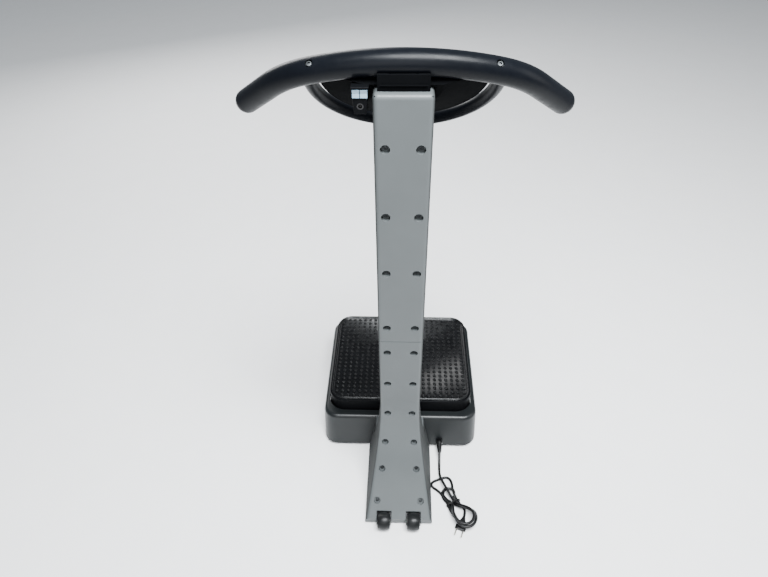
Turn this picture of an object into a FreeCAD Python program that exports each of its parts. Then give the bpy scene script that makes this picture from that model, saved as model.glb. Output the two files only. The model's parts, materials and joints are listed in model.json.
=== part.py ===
"""Vibration plate: a tilting platform on a motor base, with a mast and a handlebar.

Units are millimetres. X runs across the machine, Y runs from the tail towards the user,
Z runs up from the floor. The origin is on the floor, under the middle of the machine.
"""

import FreeCAD, Part
import math
import os

V = FreeCAD.Vector

# Base and platform
BASE_HALF = 231.5  # half the base cover's width at the floor
BASE_NEAR = -81.0  # the base cover's wall on the mast side
BASE_FAR = 355.5
BASE_CORNER = 42.0
BASE_LOW = 12.0
BASE_TOP = 113.0
BASE_SHOULDER = 12.0
DRAFT_NEAR = 26.0  # how far the near wall leans in by the top
DRAFT_SIDE = 2.5
DRAFT_FAR = 7.0
WALL = 3.0
PLATE_HALF = 212.5
PLATE_NEAR = -28.0
PLATE_FAR = 328.5
PLATE_CORNER = 47.0
PLATE_GAP = 3.5
PLATE_TOP = 156.0
SKIRT_LOW = 101.0
MAT_THICK = 4.5
MAT_INSET = 5.5
RIM_HEIGHT = 2.5

# Mast and tail
MAST_REAR = -161.0  # rear face of the mast cover
MAST_FRONT = -91.0
MAST_HALF = 52.0
MAST_TOP = 1150.0
MAST_SEAM = 557.0
MAST_EDGE = 9.0
COVER_SPLIT = -128.0  # the seam between rear and front covers
FLARE_Z = 330.0  # the tail starts to flare below this height
TAIL_RADIUS = 360.0  # hollow curve of the tail's back, seen from the side
FLARE_RADIUS = 1320.0  # hollow curve of the tail's sides, seen from behind
TAIL_LOW = 8.0
TAIL_END = -327.0
SEAM_GAP = 1.4
TUBE_HALF = 25.0
TUBE_REAR = -146.0
TUBE_FRONT = -106.0
TUBE_TOP = 1135.0
PLATE_FLOOR = 43.0  # top of the mast's foot plate

# Cover screws: height and half the spacing of each pair
UPPER_ROWS = [(1051.0, 31.7), (907.0, 31.7), (765.0, 31.7), (602.0, 31.7)]
LOWER_ROWS = [(518.0, 31.7), (402.0, 31.7)]
TAIL_ROWS = [(283.5, 32.0), (189.0, 38.7), (119.0, 47.0), (55.0, 59.5)]
POCKET_R = 9.0
POCKET_DEEP = 10.0
POCKET_FLOOR = 2.5
BOSS_WALL = 1.6
SCREW_HEAD_R = 4.6
SCREW_HEAD = 3.0
SCREW_R = 2.0

# Transport wheels
WHEEL_X = 40.0
WHEEL_Y = -332.0
WHEEL_Z = 25.0
WHEEL_R = 23.5
WHEEL_WIDE = 34.0
WHEEL_BORE = 4.05
WHEEL_PIN = 4.0
FORK_GAP = 1.0
FORK_THICK = 2.0
NOTCH_HALF = 20.5
NOTCH_NEAR = -309.5

# Handlebar, loop and console share one tilted plane: u across, v down its slope, w out of it
PLANE_TILT = -50.0
PLANE_AT = V(0, -114, 1181)
BAR_R = 22.5
BAR_TOP_V = -10.5
BAR_ARC = 480.0
BAR_BEND_U = 165.0
HORN_ARC = 185.0
HORN_TURN = 27.0
HORN_STRAIGHT = 86.0
CORE_R = 11.0
LOOP_R = 12.5
LOOP_ARC = 165.0
LOOP_MID = V(0, 45, 0)
LOOP_START = 34.0
SCREW_U = 158.0
CONSOLE_ARC = 146.0
CONSOLE_MID = V(0, 20, 0)
CONSOLE_TOP = 6.0
CONSOLE_WALL = 2.5
CONSOLE_FACE = 13.0
CONSOLE_DEPTH = 44.0
CONSOLE_BACK_R = 66.0
CONSOLE_RIM = 10.0

# Display and keys on the console's face
LENS_HALF = 52.0
LENS_TOP = 46.0
LENS_LOW = 92.0
LENS_THICK = 2.0
KEY_R = 8.0
KEY_TRAVEL = 1.0
KEY_PROUD = 1.6
KEYS = {
    "key_start": (0.0, 120.0),
    "key_stop": (0.0, 145.0),
    "key_speed_down": (-34.0, 120.0),
    "key_speed_up": (34.0, 120.0),
}

# Drive
DRIVE_Y = 215.0
DRIVE_Z = 62.0
SHAFT_R = 10.0
SHAFT_HALF = 148.0
THROW = 3.0
ROD_X = 128.0
ECCENTRIC_R = 18.0
ECCENTRIC_WIDE = 14.0
RUNNING = 0.05
BIG_PULLEY_R = 36.0
SMALL_PULLEY_R = 14.4
PULLEY_X = 10.0
PULLEY_WIDE = 16.0
BELT_WIDE = 12.0
BELT_THICK = 3.5
MOTOR_Y = 85.0
MOTOR_Z = 62.0
MOTOR_R = 41.0
MOTOR_NEAR = 32.0
MOTOR_FAR = 158.0
MOTOR_SHAFT_R = 7.0
BEARING_X = 92.0
ROD_PIN_Z = 100.0
ROD_PIN_R = 4.0
ROD_EYE_R = 11.5
ROD_THICK = 10.0

# Tilt pivot
PIVOT_Z = 95.0
PIVOT_R = 8.0
PIVOT_YS = (20.0, 292.0)
EAR_HALF = 7.0
CHEEK = 4.0
CHEEK_GAP = 2.0

# Mains cord
CORD_R = 3.75
CORD_EXIT = V(120, -80, 28)
CORD_ROUTE = [
    V(120, -84, 28),
    V(120, -106, 26),
    V(119.6, -128, 17),
    V(119, -150, 7.5),
    V(118, -172, 5.0),
    V(120.5, -192, 12.0),
    V(126.5, -209, 18.5),
    V(134, -226, 20.0),
]
HANK_FROM = V(134, -226, 0)
HANK_TO = V(188, -340, 0)
HANK_WAIST = 45.0
PLUG_FACE = V(167, -343, 0)
PLUG_AIM = V(-0.36, -0.93, 0)
HANK_TOP = 16.0
HANK_FAN = 22.6
HANK_WAIST_HALF = 19.4
PLUG_TALL = 13.0

os.makedirs("parts", exist_ok=True)


def save(name, shape):
    shape.exportStep("parts/" + name + ".step")


def box(x0, x1, y0, y1, z0, z1):
    return Part.makeBox(x1 - x0, y1 - y0, z1 - z0, V(x0, y0, z0))


def rod(radius, start, end):
    return Part.makeCylinder(radius, (end - start).Length, start, end - start)


def ring(outer, inner, start, end):
    return rod(outer, start, end).cut(rod(inner, start, end))


def rounded(half_x, y0, y1, corner, z):
    """A rectangle with round corners, as a wire at height z."""
    c = corner
    flat = Part.makeBox(2 * half_x, y1 - y0, 1, V(-half_x, y0, z))
    uprights = [e for e in flat.Edges if abs(e.Vertexes[0].Z - e.Vertexes[-1].Z) > 0.5]
    block = flat.makeFillet(c, uprights)
    return min(block.Faces, key=lambda f: f.CenterOfMass.z).OuterWire


def slab(half_x, y0, y1, corner, z0, z1):
    return Part.Face(rounded(half_x, y0, y1, corner, z0)).extrude(V(0, 0, z1 - z0))


def fuse(*shapes):
    return shapes[0].multiFuse(list(shapes[1:])).removeSplitter()


# ---------------------------------------------------------------- base

def base_body(inset, z0, z1):
    """The base cover's outer volume, its draft taken from the driving dimensions."""
    def at(z):
        k = (z - BASE_LOW) / (BASE_TOP - BASE_LOW)
        return rounded(
            BASE_HALF - DRAFT_SIDE * k - inset,
            BASE_NEAR + DRAFT_NEAR * k + inset,
            BASE_FAR - DRAFT_FAR * k - inset,
            BASE_CORNER - inset,
            z,
        )
    return Part.makeLoft([at(z0), at(z1)], True, True)


def base_cover():
    outer = base_body(0, BASE_LOW, BASE_TOP)
    rim = [e for e in outer.Edges if e.BoundBox.ZMin > BASE_TOP - 0.1]
    outer = outer.makeFillet(BASE_SHOULDER, rim)
    inner = base_body(WALL, BASE_LOW, BASE_TOP - WALL)
    hole = slab(
        PLATE_HALF + PLATE_GAP,
        PLATE_NEAR - PLATE_GAP,
        PLATE_FAR + PLATE_GAP,
        PLATE_CORNER + PLATE_GAP,
        BASE_TOP - 20,
        BASE_TOP + 10,
    )
    cable = rod(8.2, CORD_EXIT + V(0, -15, 0), CORD_EXIT + V(0, 20, 0))
    spine = box(-18, 18, BASE_NEAR - 5, BASE_NEAR + 30, 5, 38)
    return outer.cut(inner).cut(hole).cut(cable).cut(spine)


def bottom_plate():
    plate = slab(BASE_HALF - 4, BASE_NEAR + 5, BASE_FAR - 4, BASE_CORNER - 4, 10, 12)
    tail = box(-70, 70, -300, BASE_NEAR + 20, 10, 12)
    return fuse(plate, tail)


def foot_spots():
    return [(185, -35), (-185, -35), (185, 310), (-185, 310), (62, -282), (-62, -282)]


def rubber_feet():
    feet = []
    for x, y in foot_spots():
        foot = Part.makeCone(18, 20, 10, V(x, y, 0))
        feet.append(foot.cut(rod(6, V(x, y, -1), V(x, y, 3))))
    return Part.makeCompound(feet)


def base_frame():
    rails = [
        box(-195, -165, -60, 335, 12, 37),
        box(165, 195, -60, 335, 12, 37),
        box(-195, 195, -60, -30, 12, 37),
        box(-195, 195, 5, 35, 12, 37),
        box(-195, 195, DRIVE_Y - 16, DRIVE_Y + 16, 12, 37),
        box(-195, 195, 277, 307, 12, 37),
        box(-17, 17, -300, 10, 12, 37),
        box(-62, 62, -300, -276, 12, 37),
        box(-62, 62, -165, -85, 37, PLATE_FLOOR),
        box(-30, 30, -165, -85, 12, 37),
    ]
    frame = fuse(*rails)
    frame = frame.cut(box(-6, 26, DRIVE_Y - 20, DRIVE_Y + 20, 20, 40))
    for x in (-ROD_X, ROD_X):
        frame = frame.cut(box(x - 9, x + 9, DRIVE_Y - 20, DRIVE_Y + 20, 30, 40))
    for x, y in mast_bolt_spots():
        frame = frame.cut(rod(4, V(x, y, 30), V(x, y, 60)))
    return frame


def wheel_forks():
    """Two bent plates that hold each wheel's pin, one pair for each wheel."""
    made = []
    inner = WHEEL_WIDE / 2 + FORK_GAP
    for side in (-1, 1):
        x = side * WHEEL_X
        cheeks = []
        for edge in (-1, 1):
            a = x + edge * inner
            b = x + edge * (inner + FORK_THICK)
            cheek = box(min(a, b), max(a, b), WHEEL_Y - 7, -300, WHEEL_Z - 9, WHEEL_Z + 9)
            cheeks.append(cheek)
        back = box(x - inner - 2, x + inner + 2, -302, -300, WHEEL_Z - 9, WHEEL_Z + 9)
        fork = fuse(cheeks[0], cheeks[1], back)
        reach = inner + FORK_THICK + 1
        fork = fork.cut(rod(WHEEL_PIN, V(x - reach, WHEEL_Y, WHEEL_Z), V(x + reach, WHEEL_Y, WHEEL_Z)))
        made.append(fork)
    return Part.makeCompound(made)


def wheel_pins():
    reach = WHEEL_WIDE / 2 + FORK_GAP + FORK_THICK
    pins = []
    for side in (-1, 1):
        x = side * WHEEL_X
        pins.append(rod(WHEEL_PIN, V(x - reach, WHEEL_Y, WHEEL_Z), V(x + reach, WHEEL_Y, WHEEL_Z)))
    return Part.makeCompound(pins)


def wheel(side):
    """A wheel with a crowned tread and a hub recess on each face."""
    half = WHEEL_WIDE / 2
    start = V(-half, WHEEL_BORE, 0)
    points = [
        V(-half, WHEEL_R - 4, 0),
        V(0, WHEEL_R, 0),
        V(half, WHEEL_R - 4, 0),
        V(half, WHEEL_BORE, 0),
    ]
    edges = [
        Part.LineSegment(start, points[0]).toShape(),
        Part.Arc(points[0], points[1], points[2]).toShape(),
        Part.LineSegment(points[2], points[3]).toShape(),
        Part.LineSegment(points[3], start).toShape(),
    ]
    body = Part.Face(Part.Wire(edges)).revolve(V(0, 0, 0), V(1, 0, 0), 360)
    for end in (-1, 1):
        face = V(end * half, 0, 0)
        body = body.cut(ring(WHEEL_R - 7, 8, face - V(end * 4, 0, 0), face + V(end, 0, 0)))
    body.translate(V(side * WHEEL_X, WHEEL_Y, WHEEL_Z))
    return body


# ---------------------------------------------------------------- mast and tail

def tail_profile(inset, low):
    """The mast and tail seen from the side, as a face in the middle plane."""
    rear = MAST_REAR + inset
    front = MAST_FRONT - inset
    centre = V(0, MAST_REAR - TAIL_RADIUS, FLARE_Z)
    radius = TAIL_RADIUS + inset
    end_y = TAIL_END + inset
    end_angle = math.acos((end_y - centre.y) / radius)
    mid_angle = end_angle / 2
    end_z = centre.z - radius * math.sin(end_angle)
    mid = centre + V(0, radius * math.cos(mid_angle), -radius * math.sin(mid_angle))
    lean = DRAFT_NEAR / (BASE_TOP - BASE_LOW)
    toe = BASE_NEAR - 1 - inset
    shelf = 116 - inset
    corners = [
        V(0, end_y, end_z),
        V(0, end_y, low),
        V(0, toe + lean * (low - BASE_LOW), low),
        V(0, toe + lean * (shelf - BASE_LOW), shelf),
        V(0, front, shelf + 10),
        V(0, front, MAST_TOP - inset),
        V(0, rear, MAST_TOP - inset),
        V(0, rear, FLARE_Z),
    ]
    edges = [Part.LineSegment(a, b).toShape() for a, b in zip(corners, corners[1:])]
    edges.append(Part.Arc(corners[-1], mid, corners[0]).toShape())
    return Part.Face(Part.Wire(edges))


def flare_profile(inset, low):
    """The mast and tail seen from behind, as a face in the XZ plane."""
    half = MAST_HALF - inset
    radius = FLARE_RADIUS + inset
    drop = FLARE_Z - low
    reach = radius - math.sqrt(radius * radius - drop * drop)
    low_mid = FLARE_Z - drop / 2
    mid_reach = radius - math.sqrt(radius * radius - drop * drop / 4)
    top = MAST_TOP - inset
    right = [V(half, 0, top), V(half, 0, FLARE_Z), V(half + reach, 0, low)]
    left = [V(-half - reach, 0, low), V(-half, 0, FLARE_Z), V(-half, 0, top)]
    edges = [
        Part.LineSegment(right[0], right[1]).toShape(),
        Part.Arc(right[1], V(half + mid_reach, 0, low_mid), right[2]).toShape(),
        Part.LineSegment(right[2], left[0]).toShape(),
        Part.Arc(left[0], V(-half - mid_reach, 0, low_mid), left[1]).toShape(),
        Part.LineSegment(left[1], left[2]).toShape(),
        Part.LineSegment(left[2], right[0]).toShape(),
    ]
    return Part.Face(Part.Wire(edges))


def mast_volume(inset, low):
    side = tail_profile(inset, low)
    side.translate(V(-150, 0, 0))
    back = flare_profile(inset, low)
    back.translate(V(0, -400, 0))
    return side.extrude(V(300, 0, 0)).common(back.extrude(V(0, 500, 0)))


def soften(solid, radius):
    """Rounds the long edges of the rear face, the front face and the mast's top."""
    def wanted(edge):
        b = edge.BoundBox
        rear = b.YMax < MAST_REAR + 1 and b.ZLength > 100 and abs(b.Center.x) > 40
        front = b.YMin > MAST_FRONT - 1 and b.ZLength > 200
        top = b.ZMin > MAST_TOP - 1
        return rear or front or top
    return solid.makeFillet(radius, [e for e in solid.Edges if wanted(e)])


def tail_normal(z):
    """The tail's surface point at height z, and the way out of it."""
    if z >= FLARE_Z:
        return V(0, MAST_REAR, z), V(0, -1, 0)
    centre = V(0, MAST_REAR - TAIL_RADIUS, FLARE_Z)
    angle = math.asin((FLARE_Z - z) / TAIL_RADIUS)
    out = V(0, -math.cos(angle), math.sin(angle))
    return centre - out * TAIL_RADIUS, out


def screw_places(rows):
    for z, half in rows:
        point, out = tail_normal(z)
        for side in (-1, 1):
            yield point + V(side * half, 0, 0), out


def pockets(rows):
    return [rod(POCKET_R, p - out * POCKET_DEEP, p + out * 20) for p, out in screw_places(rows)]


def bosses(rows):
    deep = POCKET_DEEP + POCKET_FLOOR
    return [rod(POCKET_R + BOSS_WALL, p - out * deep, p) for p, out in screw_places(rows)]


def screw_holes(rows, radius):
    return [rod(radius, p - out * 45, p) for p, out in screw_places(rows)]


def cover_screws(rows):
    made = []
    for p, out in screw_places(rows):
        seat = p - out * POCKET_DEEP
        length = 30 if p.z > 300 else POCKET_FLOOR + 6
        head = rod(SCREW_HEAD_R, seat, seat + out * SCREW_HEAD)
        head = head.cut(box(-0.6, 0.6, -0.6, 0.6, -9, 9).translated(seat + out * SCREW_HEAD))
        made.append(head.fuse(rod(SCREW_R, seat - out * length, seat)))
    return made


def rear_half(low, high):
    """The part of the mast's volume that belongs to the rear covers."""
    keep = box(-150, 150, -400, COVER_SPLIT - SEAM_GAP / 2, low, high)
    if low < 120:
        keep = keep.fuse(box(-150, 150, -400, 0, low, 127))
    return keep


def make_rear(low, high, rows, outer, inner):
    shell = outer.cut(inner).common(rear_half(low, high))
    inside = outer.common(rear_half(low, high))
    lugs = [b.common(inside) for b in bosses(rows)]
    shell = shell.multiFuse(lugs)
    for tool in pockets(rows) + screw_holes(rows, SCREW_R):
        shell = shell.cut(tool)
    return shell


def front_cover(low, high, rows, outer, inner):
    keep = box(-150, 150, COVER_SPLIT + SEAM_GAP / 2, 0, low, high)
    shell = outer.cut(inner).common(keep)
    posts = []
    for p, out in screw_places([r for r in rows if r[0] > 300]):
        post = rod(4.6, V(p.x, COVER_SPLIT - 8, p.z), V(p.x, MAST_FRONT - 1.5, p.z))
        posts.append(post)
    shell = shell.multiFuse(posts) if posts else shell
    for tool in screw_holes([r for r in rows if r[0] > 300], SCREW_R):
        shell = shell.cut(tool)
    return shell


def wheel_notches():
    cuts = []
    for side in (-1, 1):
        x = side * WHEEL_X
        cuts.append(box(x - NOTCH_HALF, x + NOTCH_HALF, -400, NOTCH_NEAR, 0, 60))
    return cuts


def tail_bracket():
    """A curved steel strap under the tail cover; the tail screws hold on to it."""
    centre = V(0, MAST_REAR - TAIL_RADIUS, FLARE_Z)
    near = TAIL_RADIUS + POCKET_DEEP + POCKET_FLOOR + 0.2
    far = near + 3
    tube = rod(far, centre - V(90, 0, 0), centre + V(90, 0, 0))
    tube = tube.cut(rod(near, centre - V(91, 0, 0), centre + V(91, 0, 0)))
    back = flare_profile(8, TAIL_LOW)
    back.translate(V(0, -400, 0))
    strap = tube.common(back.extrude(V(0, 500, 0))).common(box(-90, 90, -310, -100, 38, 296))
    strap = strap.cut(box(-26, 26, -147, -90, 30, 400))
    for tool in screw_holes(TAIL_ROWS, SCREW_R):
        strap = strap.cut(tool)
    return strap


def mast_tube():
    wall = 2.5
    outer = box(-TUBE_HALF, TUBE_HALF, TUBE_REAR, TUBE_FRONT, PLATE_FLOOR, TUBE_TOP)
    inner = box(
        -TUBE_HALF + wall,
        TUBE_HALF - wall,
        TUBE_REAR + wall,
        TUBE_FRONT - wall,
        PLATE_FLOOR - 1,
        TUBE_TOP + 1,
    )
    flange = box(-55, 55, -160, -92, PLATE_FLOOR, PLATE_FLOOR + 6)
    tube = outer.fuse(flange).cut(inner)
    for x, y in mast_bolt_spots():
        tube = tube.cut(rod(4, V(x, y, 30), V(x, y, 60)))
    return tube.removeSplitter()


def mast_bolt_spots():
    return [(x, y) for x in (-43, 43) for y in (-150, -102)]


def mast_bolts():
    made = []
    for x, y in mast_bolt_spots():
        top = PLATE_FLOOR + 6
        shank = rod(4, V(x, y, PLATE_FLOOR - 6), V(x, y, top))
        made.append(shank.fuse(rod(6.5, V(x, y, top), V(x, y, top + 5.3))))
    return made


# ---------------------------------------------------------------- platform and drive

def platform_cover():
    """The moulded tray whose skirt hangs down into the base."""
    height = PLATE_TOP - MAT_THICK
    outer = slab(PLATE_HALF, PLATE_NEAR, PLATE_FAR, PLATE_CORNER, SKIRT_LOW, height + RIM_HEIGHT)
    lip = [e for e in outer.Edges if e.BoundBox.ZMin > height]
    outer = outer.makeFillet(3.5, lip)
    inner = slab(
        PLATE_HALF - WALL,
        PLATE_NEAR + WALL,
        PLATE_FAR - WALL,
        PLATE_CORNER - WALL,
        SKIRT_LOW - 1,
        height - WALL,
    )
    bed = slab(
        PLATE_HALF - MAT_INSET,
        PLATE_NEAR + MAT_INSET,
        PLATE_FAR - MAT_INSET,
        PLATE_CORNER - MAT_INSET,
        height,
        height + 10,
    )
    return outer.cut(inner).cut(bed)


def platform_mat():
    edge = MAT_INSET + 0.3
    return slab(
        PLATE_HALF - edge,
        PLATE_NEAR + edge,
        PLATE_FAR - edge,
        PLATE_CORNER - edge,
        PLATE_TOP - MAT_THICK,
        PLATE_TOP,
    )


def deck_board():
    low = 135.0
    high = PLATE_TOP - MAT_THICK - WALL
    return slab(PLATE_HALF - 8, PLATE_NEAR + 8, PLATE_FAR - 8, PLATE_CORNER - 8, low, high)


def platform_frame():
    """Tubes under the deck, the two pivot ears and the plates that hold the rod pins."""
    bars = [
        box(-175, 175, 8, 32, 121, 135),
        box(-175, 175, 280, 304, 121, 135),
        box(-175, -151, 8, 304, 121, 135),
        box(151, 175, 8, 304, 121, 135),
        box(-175, 175, DRIVE_Y - 14, DRIVE_Y + 14, 124, 135),
    ]
    for y in PIVOT_YS:
        ear = box(-16, 16, y - EAR_HALF, y + EAR_HALF, PIVOT_Z, 124)
        bars.append(ear)
        bars.append(rod(16, V(0, y - EAR_HALF, PIVOT_Z), V(0, y + EAR_HALF, PIVOT_Z)))
    for side in (-1, 1):
        for gap in (-1, 1):
            x = side * ROD_X + gap * (ROD_THICK / 2 + 3)
            bars.append(box(x - 1.5, x + 1.5, DRIVE_Y - 12, DRIVE_Y + 12, ROD_PIN_Z - 8, 126))
    frame = fuse(*bars)
    for y in PIVOT_YS:
        bore = rod(PIVOT_R + 4, V(0, y - 20, PIVOT_Z), V(0, y + 20, PIVOT_Z))
        frame = frame.cut(bore)
    for side in (-1, 1):
        frame = frame.cut(rod_pin(side, 30))
    return frame


def rod_pin(side, length):
    x = side * ROD_X
    return rod(ROD_PIN_R, V(x - length / 2, DRIVE_Y, ROD_PIN_Z), V(x + length / 2, DRIVE_Y, ROD_PIN_Z))


def pivot_bushes():
    made = []
    for y in PIVOT_YS:
        a = V(0, y - EAR_HALF, PIVOT_Z)
        b = V(0, y + EAR_HALF, PIVOT_Z)
        made.append(ring(PIVOT_R + 4, PIVOT_R + RUNNING, a, b))
    return Part.makeCompound(made)


def pivot_brackets():
    made = []
    for y in PIVOT_YS:
        parts = [box(-24, 24, y - 14, y + 14, 37, 41)]
        for side in (-1, 1):
            near = y + side * (EAR_HALF + CHEEK_GAP)
            far = near + side * CHEEK
            lo = min(near, far)
            hi = max(near, far)
            parts.append(box(-13, 13, lo, hi, 41, PIVOT_Z))
            parts.append(rod(13, V(0, lo, PIVOT_Z), V(0, hi, PIVOT_Z)))
        bracket = fuse(*parts)
        made.append(bracket.cut(rod(PIVOT_R, V(0, y - 30, PIVOT_Z), V(0, y + 30, PIVOT_Z))))
    return Part.makeCompound(made)


def pivot_pins():
    reach = EAR_HALF + CHEEK_GAP + CHEEK + 2
    return Part.makeCompound(
        [rod(PIVOT_R, V(0, y - reach, PIVOT_Z), V(0, y + reach, PIVOT_Z)) for y in PIVOT_YS]
    )


def across(radius, x0, x1, y, z):
    return rod(radius, V(min(x0, x1), y, z), V(max(x0, x1), y, z))


def drive_shaft():
    """Shaft with two eccentrics half a turn apart."""
    shaft = across(SHAFT_R, -SHAFT_HALF, SHAFT_HALF, DRIVE_Y, DRIVE_Z)
    half = ECCENTRIC_WIDE / 2
    for side in (-1, 1):
        x = side * ROD_X
        lobe = across(ECCENTRIC_R, x - half, x + half, DRIVE_Y, DRIVE_Z + side * THROW)
        shaft = shaft.fuse(lobe)
    return shaft.removeSplitter()


def pulley(radius, bore, y, z):
    half = PULLEY_WIDE / 2
    disc = across(radius, PULLEY_X - half, PULLEY_X + half, y, z)
    for side in (-1, 1):
        x = PULLEY_X + side * (half - 0.75)
        disc = disc.fuse(across(radius + 2.5, x - 0.75, x + 0.75, y, z))
    if radius > 25:
        for k in range(6):
            a = math.radians(60 * k)
            spot = V(0, 0.62 * radius * math.cos(a), 0.62 * radius * math.sin(a))
            disc = disc.cut(across(5, PULLEY_X - 20, PULLEY_X + 20, y + spot.y, z + spot.z))
    return disc.cut(across(bore, PULLEY_X - 20, PULLEY_X + 20, y, z)).removeSplitter()


def drive_belt():
    """A closed band round both pulleys, a little clear of them."""
    def band(extra, width):
        big = BIG_PULLEY_R + extra
        small = SMALL_PULLEY_R + extra
        reach = DRIVE_Y - MOTOR_Y
        lean = math.asin((big - small) / reach)
        c = math.cos(lean)
        s = math.sin(lean)
        x = PULLEY_X - width / 2
        far_top = V(x, DRIVE_Y - s * big, DRIVE_Z + c * big)
        near_top = V(x, MOTOR_Y - s * small, MOTOR_Z + c * small)
        near_low = V(x, MOTOR_Y - s * small, MOTOR_Z - c * small)
        far_low = V(x, DRIVE_Y - s * big, DRIVE_Z - c * big)
        wire = Part.Wire([
            Part.LineSegment(far_top, near_top).toShape(),
            Part.Arc(near_top, V(x, MOTOR_Y - small, MOTOR_Z), near_low).toShape(),
            Part.LineSegment(near_low, far_low).toShape(),
            Part.Arc(far_low, V(x, DRIVE_Y + big, DRIVE_Z), far_top).toShape(),
        ])
        return Part.Face(wire).extrude(V(width, 0, 0))
    return band(0.3 + BELT_THICK, BELT_WIDE).cut(band(0.3, BELT_WIDE + 2))


def motor():
    half = 6
    can = across(MOTOR_R, MOTOR_NEAR, MOTOR_FAR, MOTOR_Y, MOTOR_Z)
    ribs = []
    for k in range(8):
        x = MOTOR_NEAR + 24 + k * 11
        ribs.append(across(MOTOR_R + 1.5, x, x + 4, MOTOR_Y, MOTOR_Z))
    can = can.multiFuse(ribs)
    terminal = box(70, 120, MOTOR_Y - MOTOR_R - half, MOTOR_Y - 20, MOTOR_Z + 5, MOTOR_Z + 30)
    can = can.fuse(terminal)
    bore = across(MOTOR_SHAFT_R + RUNNING, MOTOR_NEAR - 5, MOTOR_NEAR + 60, MOTOR_Y, MOTOR_Z)
    return can.cut(bore).removeSplitter()


def motor_cradle():
    """Two saddles on a plate that spans the base rails."""
    parts = [box(40, 165, 35, MOTOR_Y + 50, 14, 17)]
    for x in (44, 140):
        saddle = box(x, x + 6, MOTOR_Y - 36, MOTOR_Y + 36, 17, 50)
        parts.append(saddle)
    cradle = fuse(*parts)
    return cradle.cut(across(MOTOR_R + 1.6, 0, 200, MOTOR_Y, MOTOR_Z))


def bearing_blocks():
    made = []
    for side in (-1, 1):
        x = side * BEARING_X
        foot = box(x - 9, x + 9, DRIVE_Y - 30, DRIVE_Y + 30, 37, 45)
        body = box(x - 9, x + 9, DRIVE_Y - 19, DRIVE_Y + 19, 37, DRIVE_Z)
        head = across(19, x - 9, x + 9, DRIVE_Y, DRIVE_Z)
        block = fuse(foot, body, head)
        block = block.cut(across(15, x - 20, x + 20, DRIVE_Y, DRIVE_Z))
        made.append(block)
    return Part.makeCompound(made)


def shaft_bearings():
    made = []
    for side in (-1, 1):
        x = side * BEARING_X
        a = V(x - 7, DRIVE_Y, DRIVE_Z)
        b = V(x + 7, DRIVE_Y, DRIVE_Z)
        made.append(ring(15, SHAFT_R + RUNNING, a, b))
    return Part.makeCompound(made)


def connecting_rod(side):
    """A strap round the eccentric, with an open eye round the platform's pin."""
    x = side * ROD_X
    half = ROD_THICK / 2
    centre_z = DRIVE_Z + side * THROW
    strap = across(ECCENTRIC_R + 6, x - half, x + half, DRIVE_Y, centre_z)
    neck = box(x - half, x + half, DRIVE_Y - 8, DRIVE_Y + 8, centre_z + 15, ROD_PIN_Z - 10)
    eye = across(ROD_EYE_R + 3, x - half, x + half, DRIVE_Y, ROD_PIN_Z + side * THROW)
    rod_body = fuse(strap, neck, eye)
    rod_body = rod_body.cut(across(ECCENTRIC_R + RUNNING, x - 20, x + 20, DRIVE_Y, centre_z))
    hole = across(ROD_EYE_R, x - 20, x + 20, DRIVE_Y, ROD_PIN_Z + side * THROW)
    return rod_body.cut(hole)


def control_box():
    outer = box(-150, -50, 50, 150, 37, 76)
    tray = outer.cut(box(-147, -53, 53, 147, 40, 80))
    ears = [box(-185, -150, y, y + 14, 37, 40) for y in (55, 131)]
    return tray.multiFuse(ears).removeSplitter()


def control_board():
    board = box(-145, -55, 55, 145, 46, 47.6)
    parts = [
        across(11, -140, -112, 75, 58),
        box(-105, -75, 62, 92, 47, 62),
        box(-140, -120, 100, 138, 47, 66),
        box(-110, -64, 110, 138, 47, 55),
    ]
    return board.multiFuse(parts).removeSplitter()


# ---------------------------------------------------------------- handlebar and console

def tilted(shape):
    """Moves a shape from the handlebar's plane (u, v, w) to the machine."""
    turn = FreeCAD.Rotation(V(1, 0, 0), PLANE_TILT)
    shape.Placement = FreeCAD.Placement(PLANE_AT, turn).multiply(shape.Placement)
    return shape


def in_plane(shape):
    """The other way: from the machine's axes to the handlebar's plane."""
    turn = FreeCAD.Rotation(V(1, 0, 0), PLANE_TILT)
    back = FreeCAD.Placement(PLANE_AT, turn).inverse()
    shape.Placement = back.multiply(shape.Placement)
    return shape


def bar_v(u):
    return BAR_TOP_V + BAR_ARC - math.sqrt(BAR_ARC * BAR_ARC - u * u)


def bar_path(shorter):
    """The bar's centreline: a long arc, a bend on each side and two straight horns."""
    bend_v = bar_v(BAR_BEND_U)
    start_angle = math.asin(BAR_BEND_U / BAR_ARC)
    end_angle = start_angle + math.radians(HORN_TURN)
    centre = V(
        BAR_BEND_U - HORN_ARC * math.sin(start_angle),
        bend_v + HORN_ARC * math.cos(start_angle),
        0,
    )
    def horn(angle):
        return centre + V(HORN_ARC * math.sin(angle), -HORN_ARC * math.cos(angle), 0)
    root = horn(end_angle)
    along = V(math.cos(end_angle), math.sin(end_angle), 0)
    tip = root + along * (HORN_STRAIGHT - shorter)
    half_way = horn((start_angle + end_angle) / 2)
    bend = V(BAR_BEND_U, bend_v, 0)
    def flip(p):
        return V(-p.x, p.y, p.z)
    wire = Part.Wire([
        Part.LineSegment(flip(tip), flip(root)).toShape(),
        Part.Arc(flip(root), flip(half_way), flip(bend)).toShape(),
        Part.Arc(flip(bend), V(0, BAR_TOP_V, 0), bend).toShape(),
        Part.Arc(bend, half_way, root).toShape(),
        Part.LineSegment(root, tip).toShape(),
    ])
    return wire, tip, along


def bar_solid(radius, shorter, round_ends):
    wire, tip, along = bar_path(shorter)
    start = V(-tip.x, tip.y, 0)
    profile = Part.Wire(Part.makeCircle(radius, start, V(-along.x, along.y, 0)))
    tube = wire.makePipeShell([profile], True, True)
    if round_ends:
        for end in (tip, start):
            tube = tube.fuse(Part.makeSphere(radius, end))
    return tube


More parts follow.
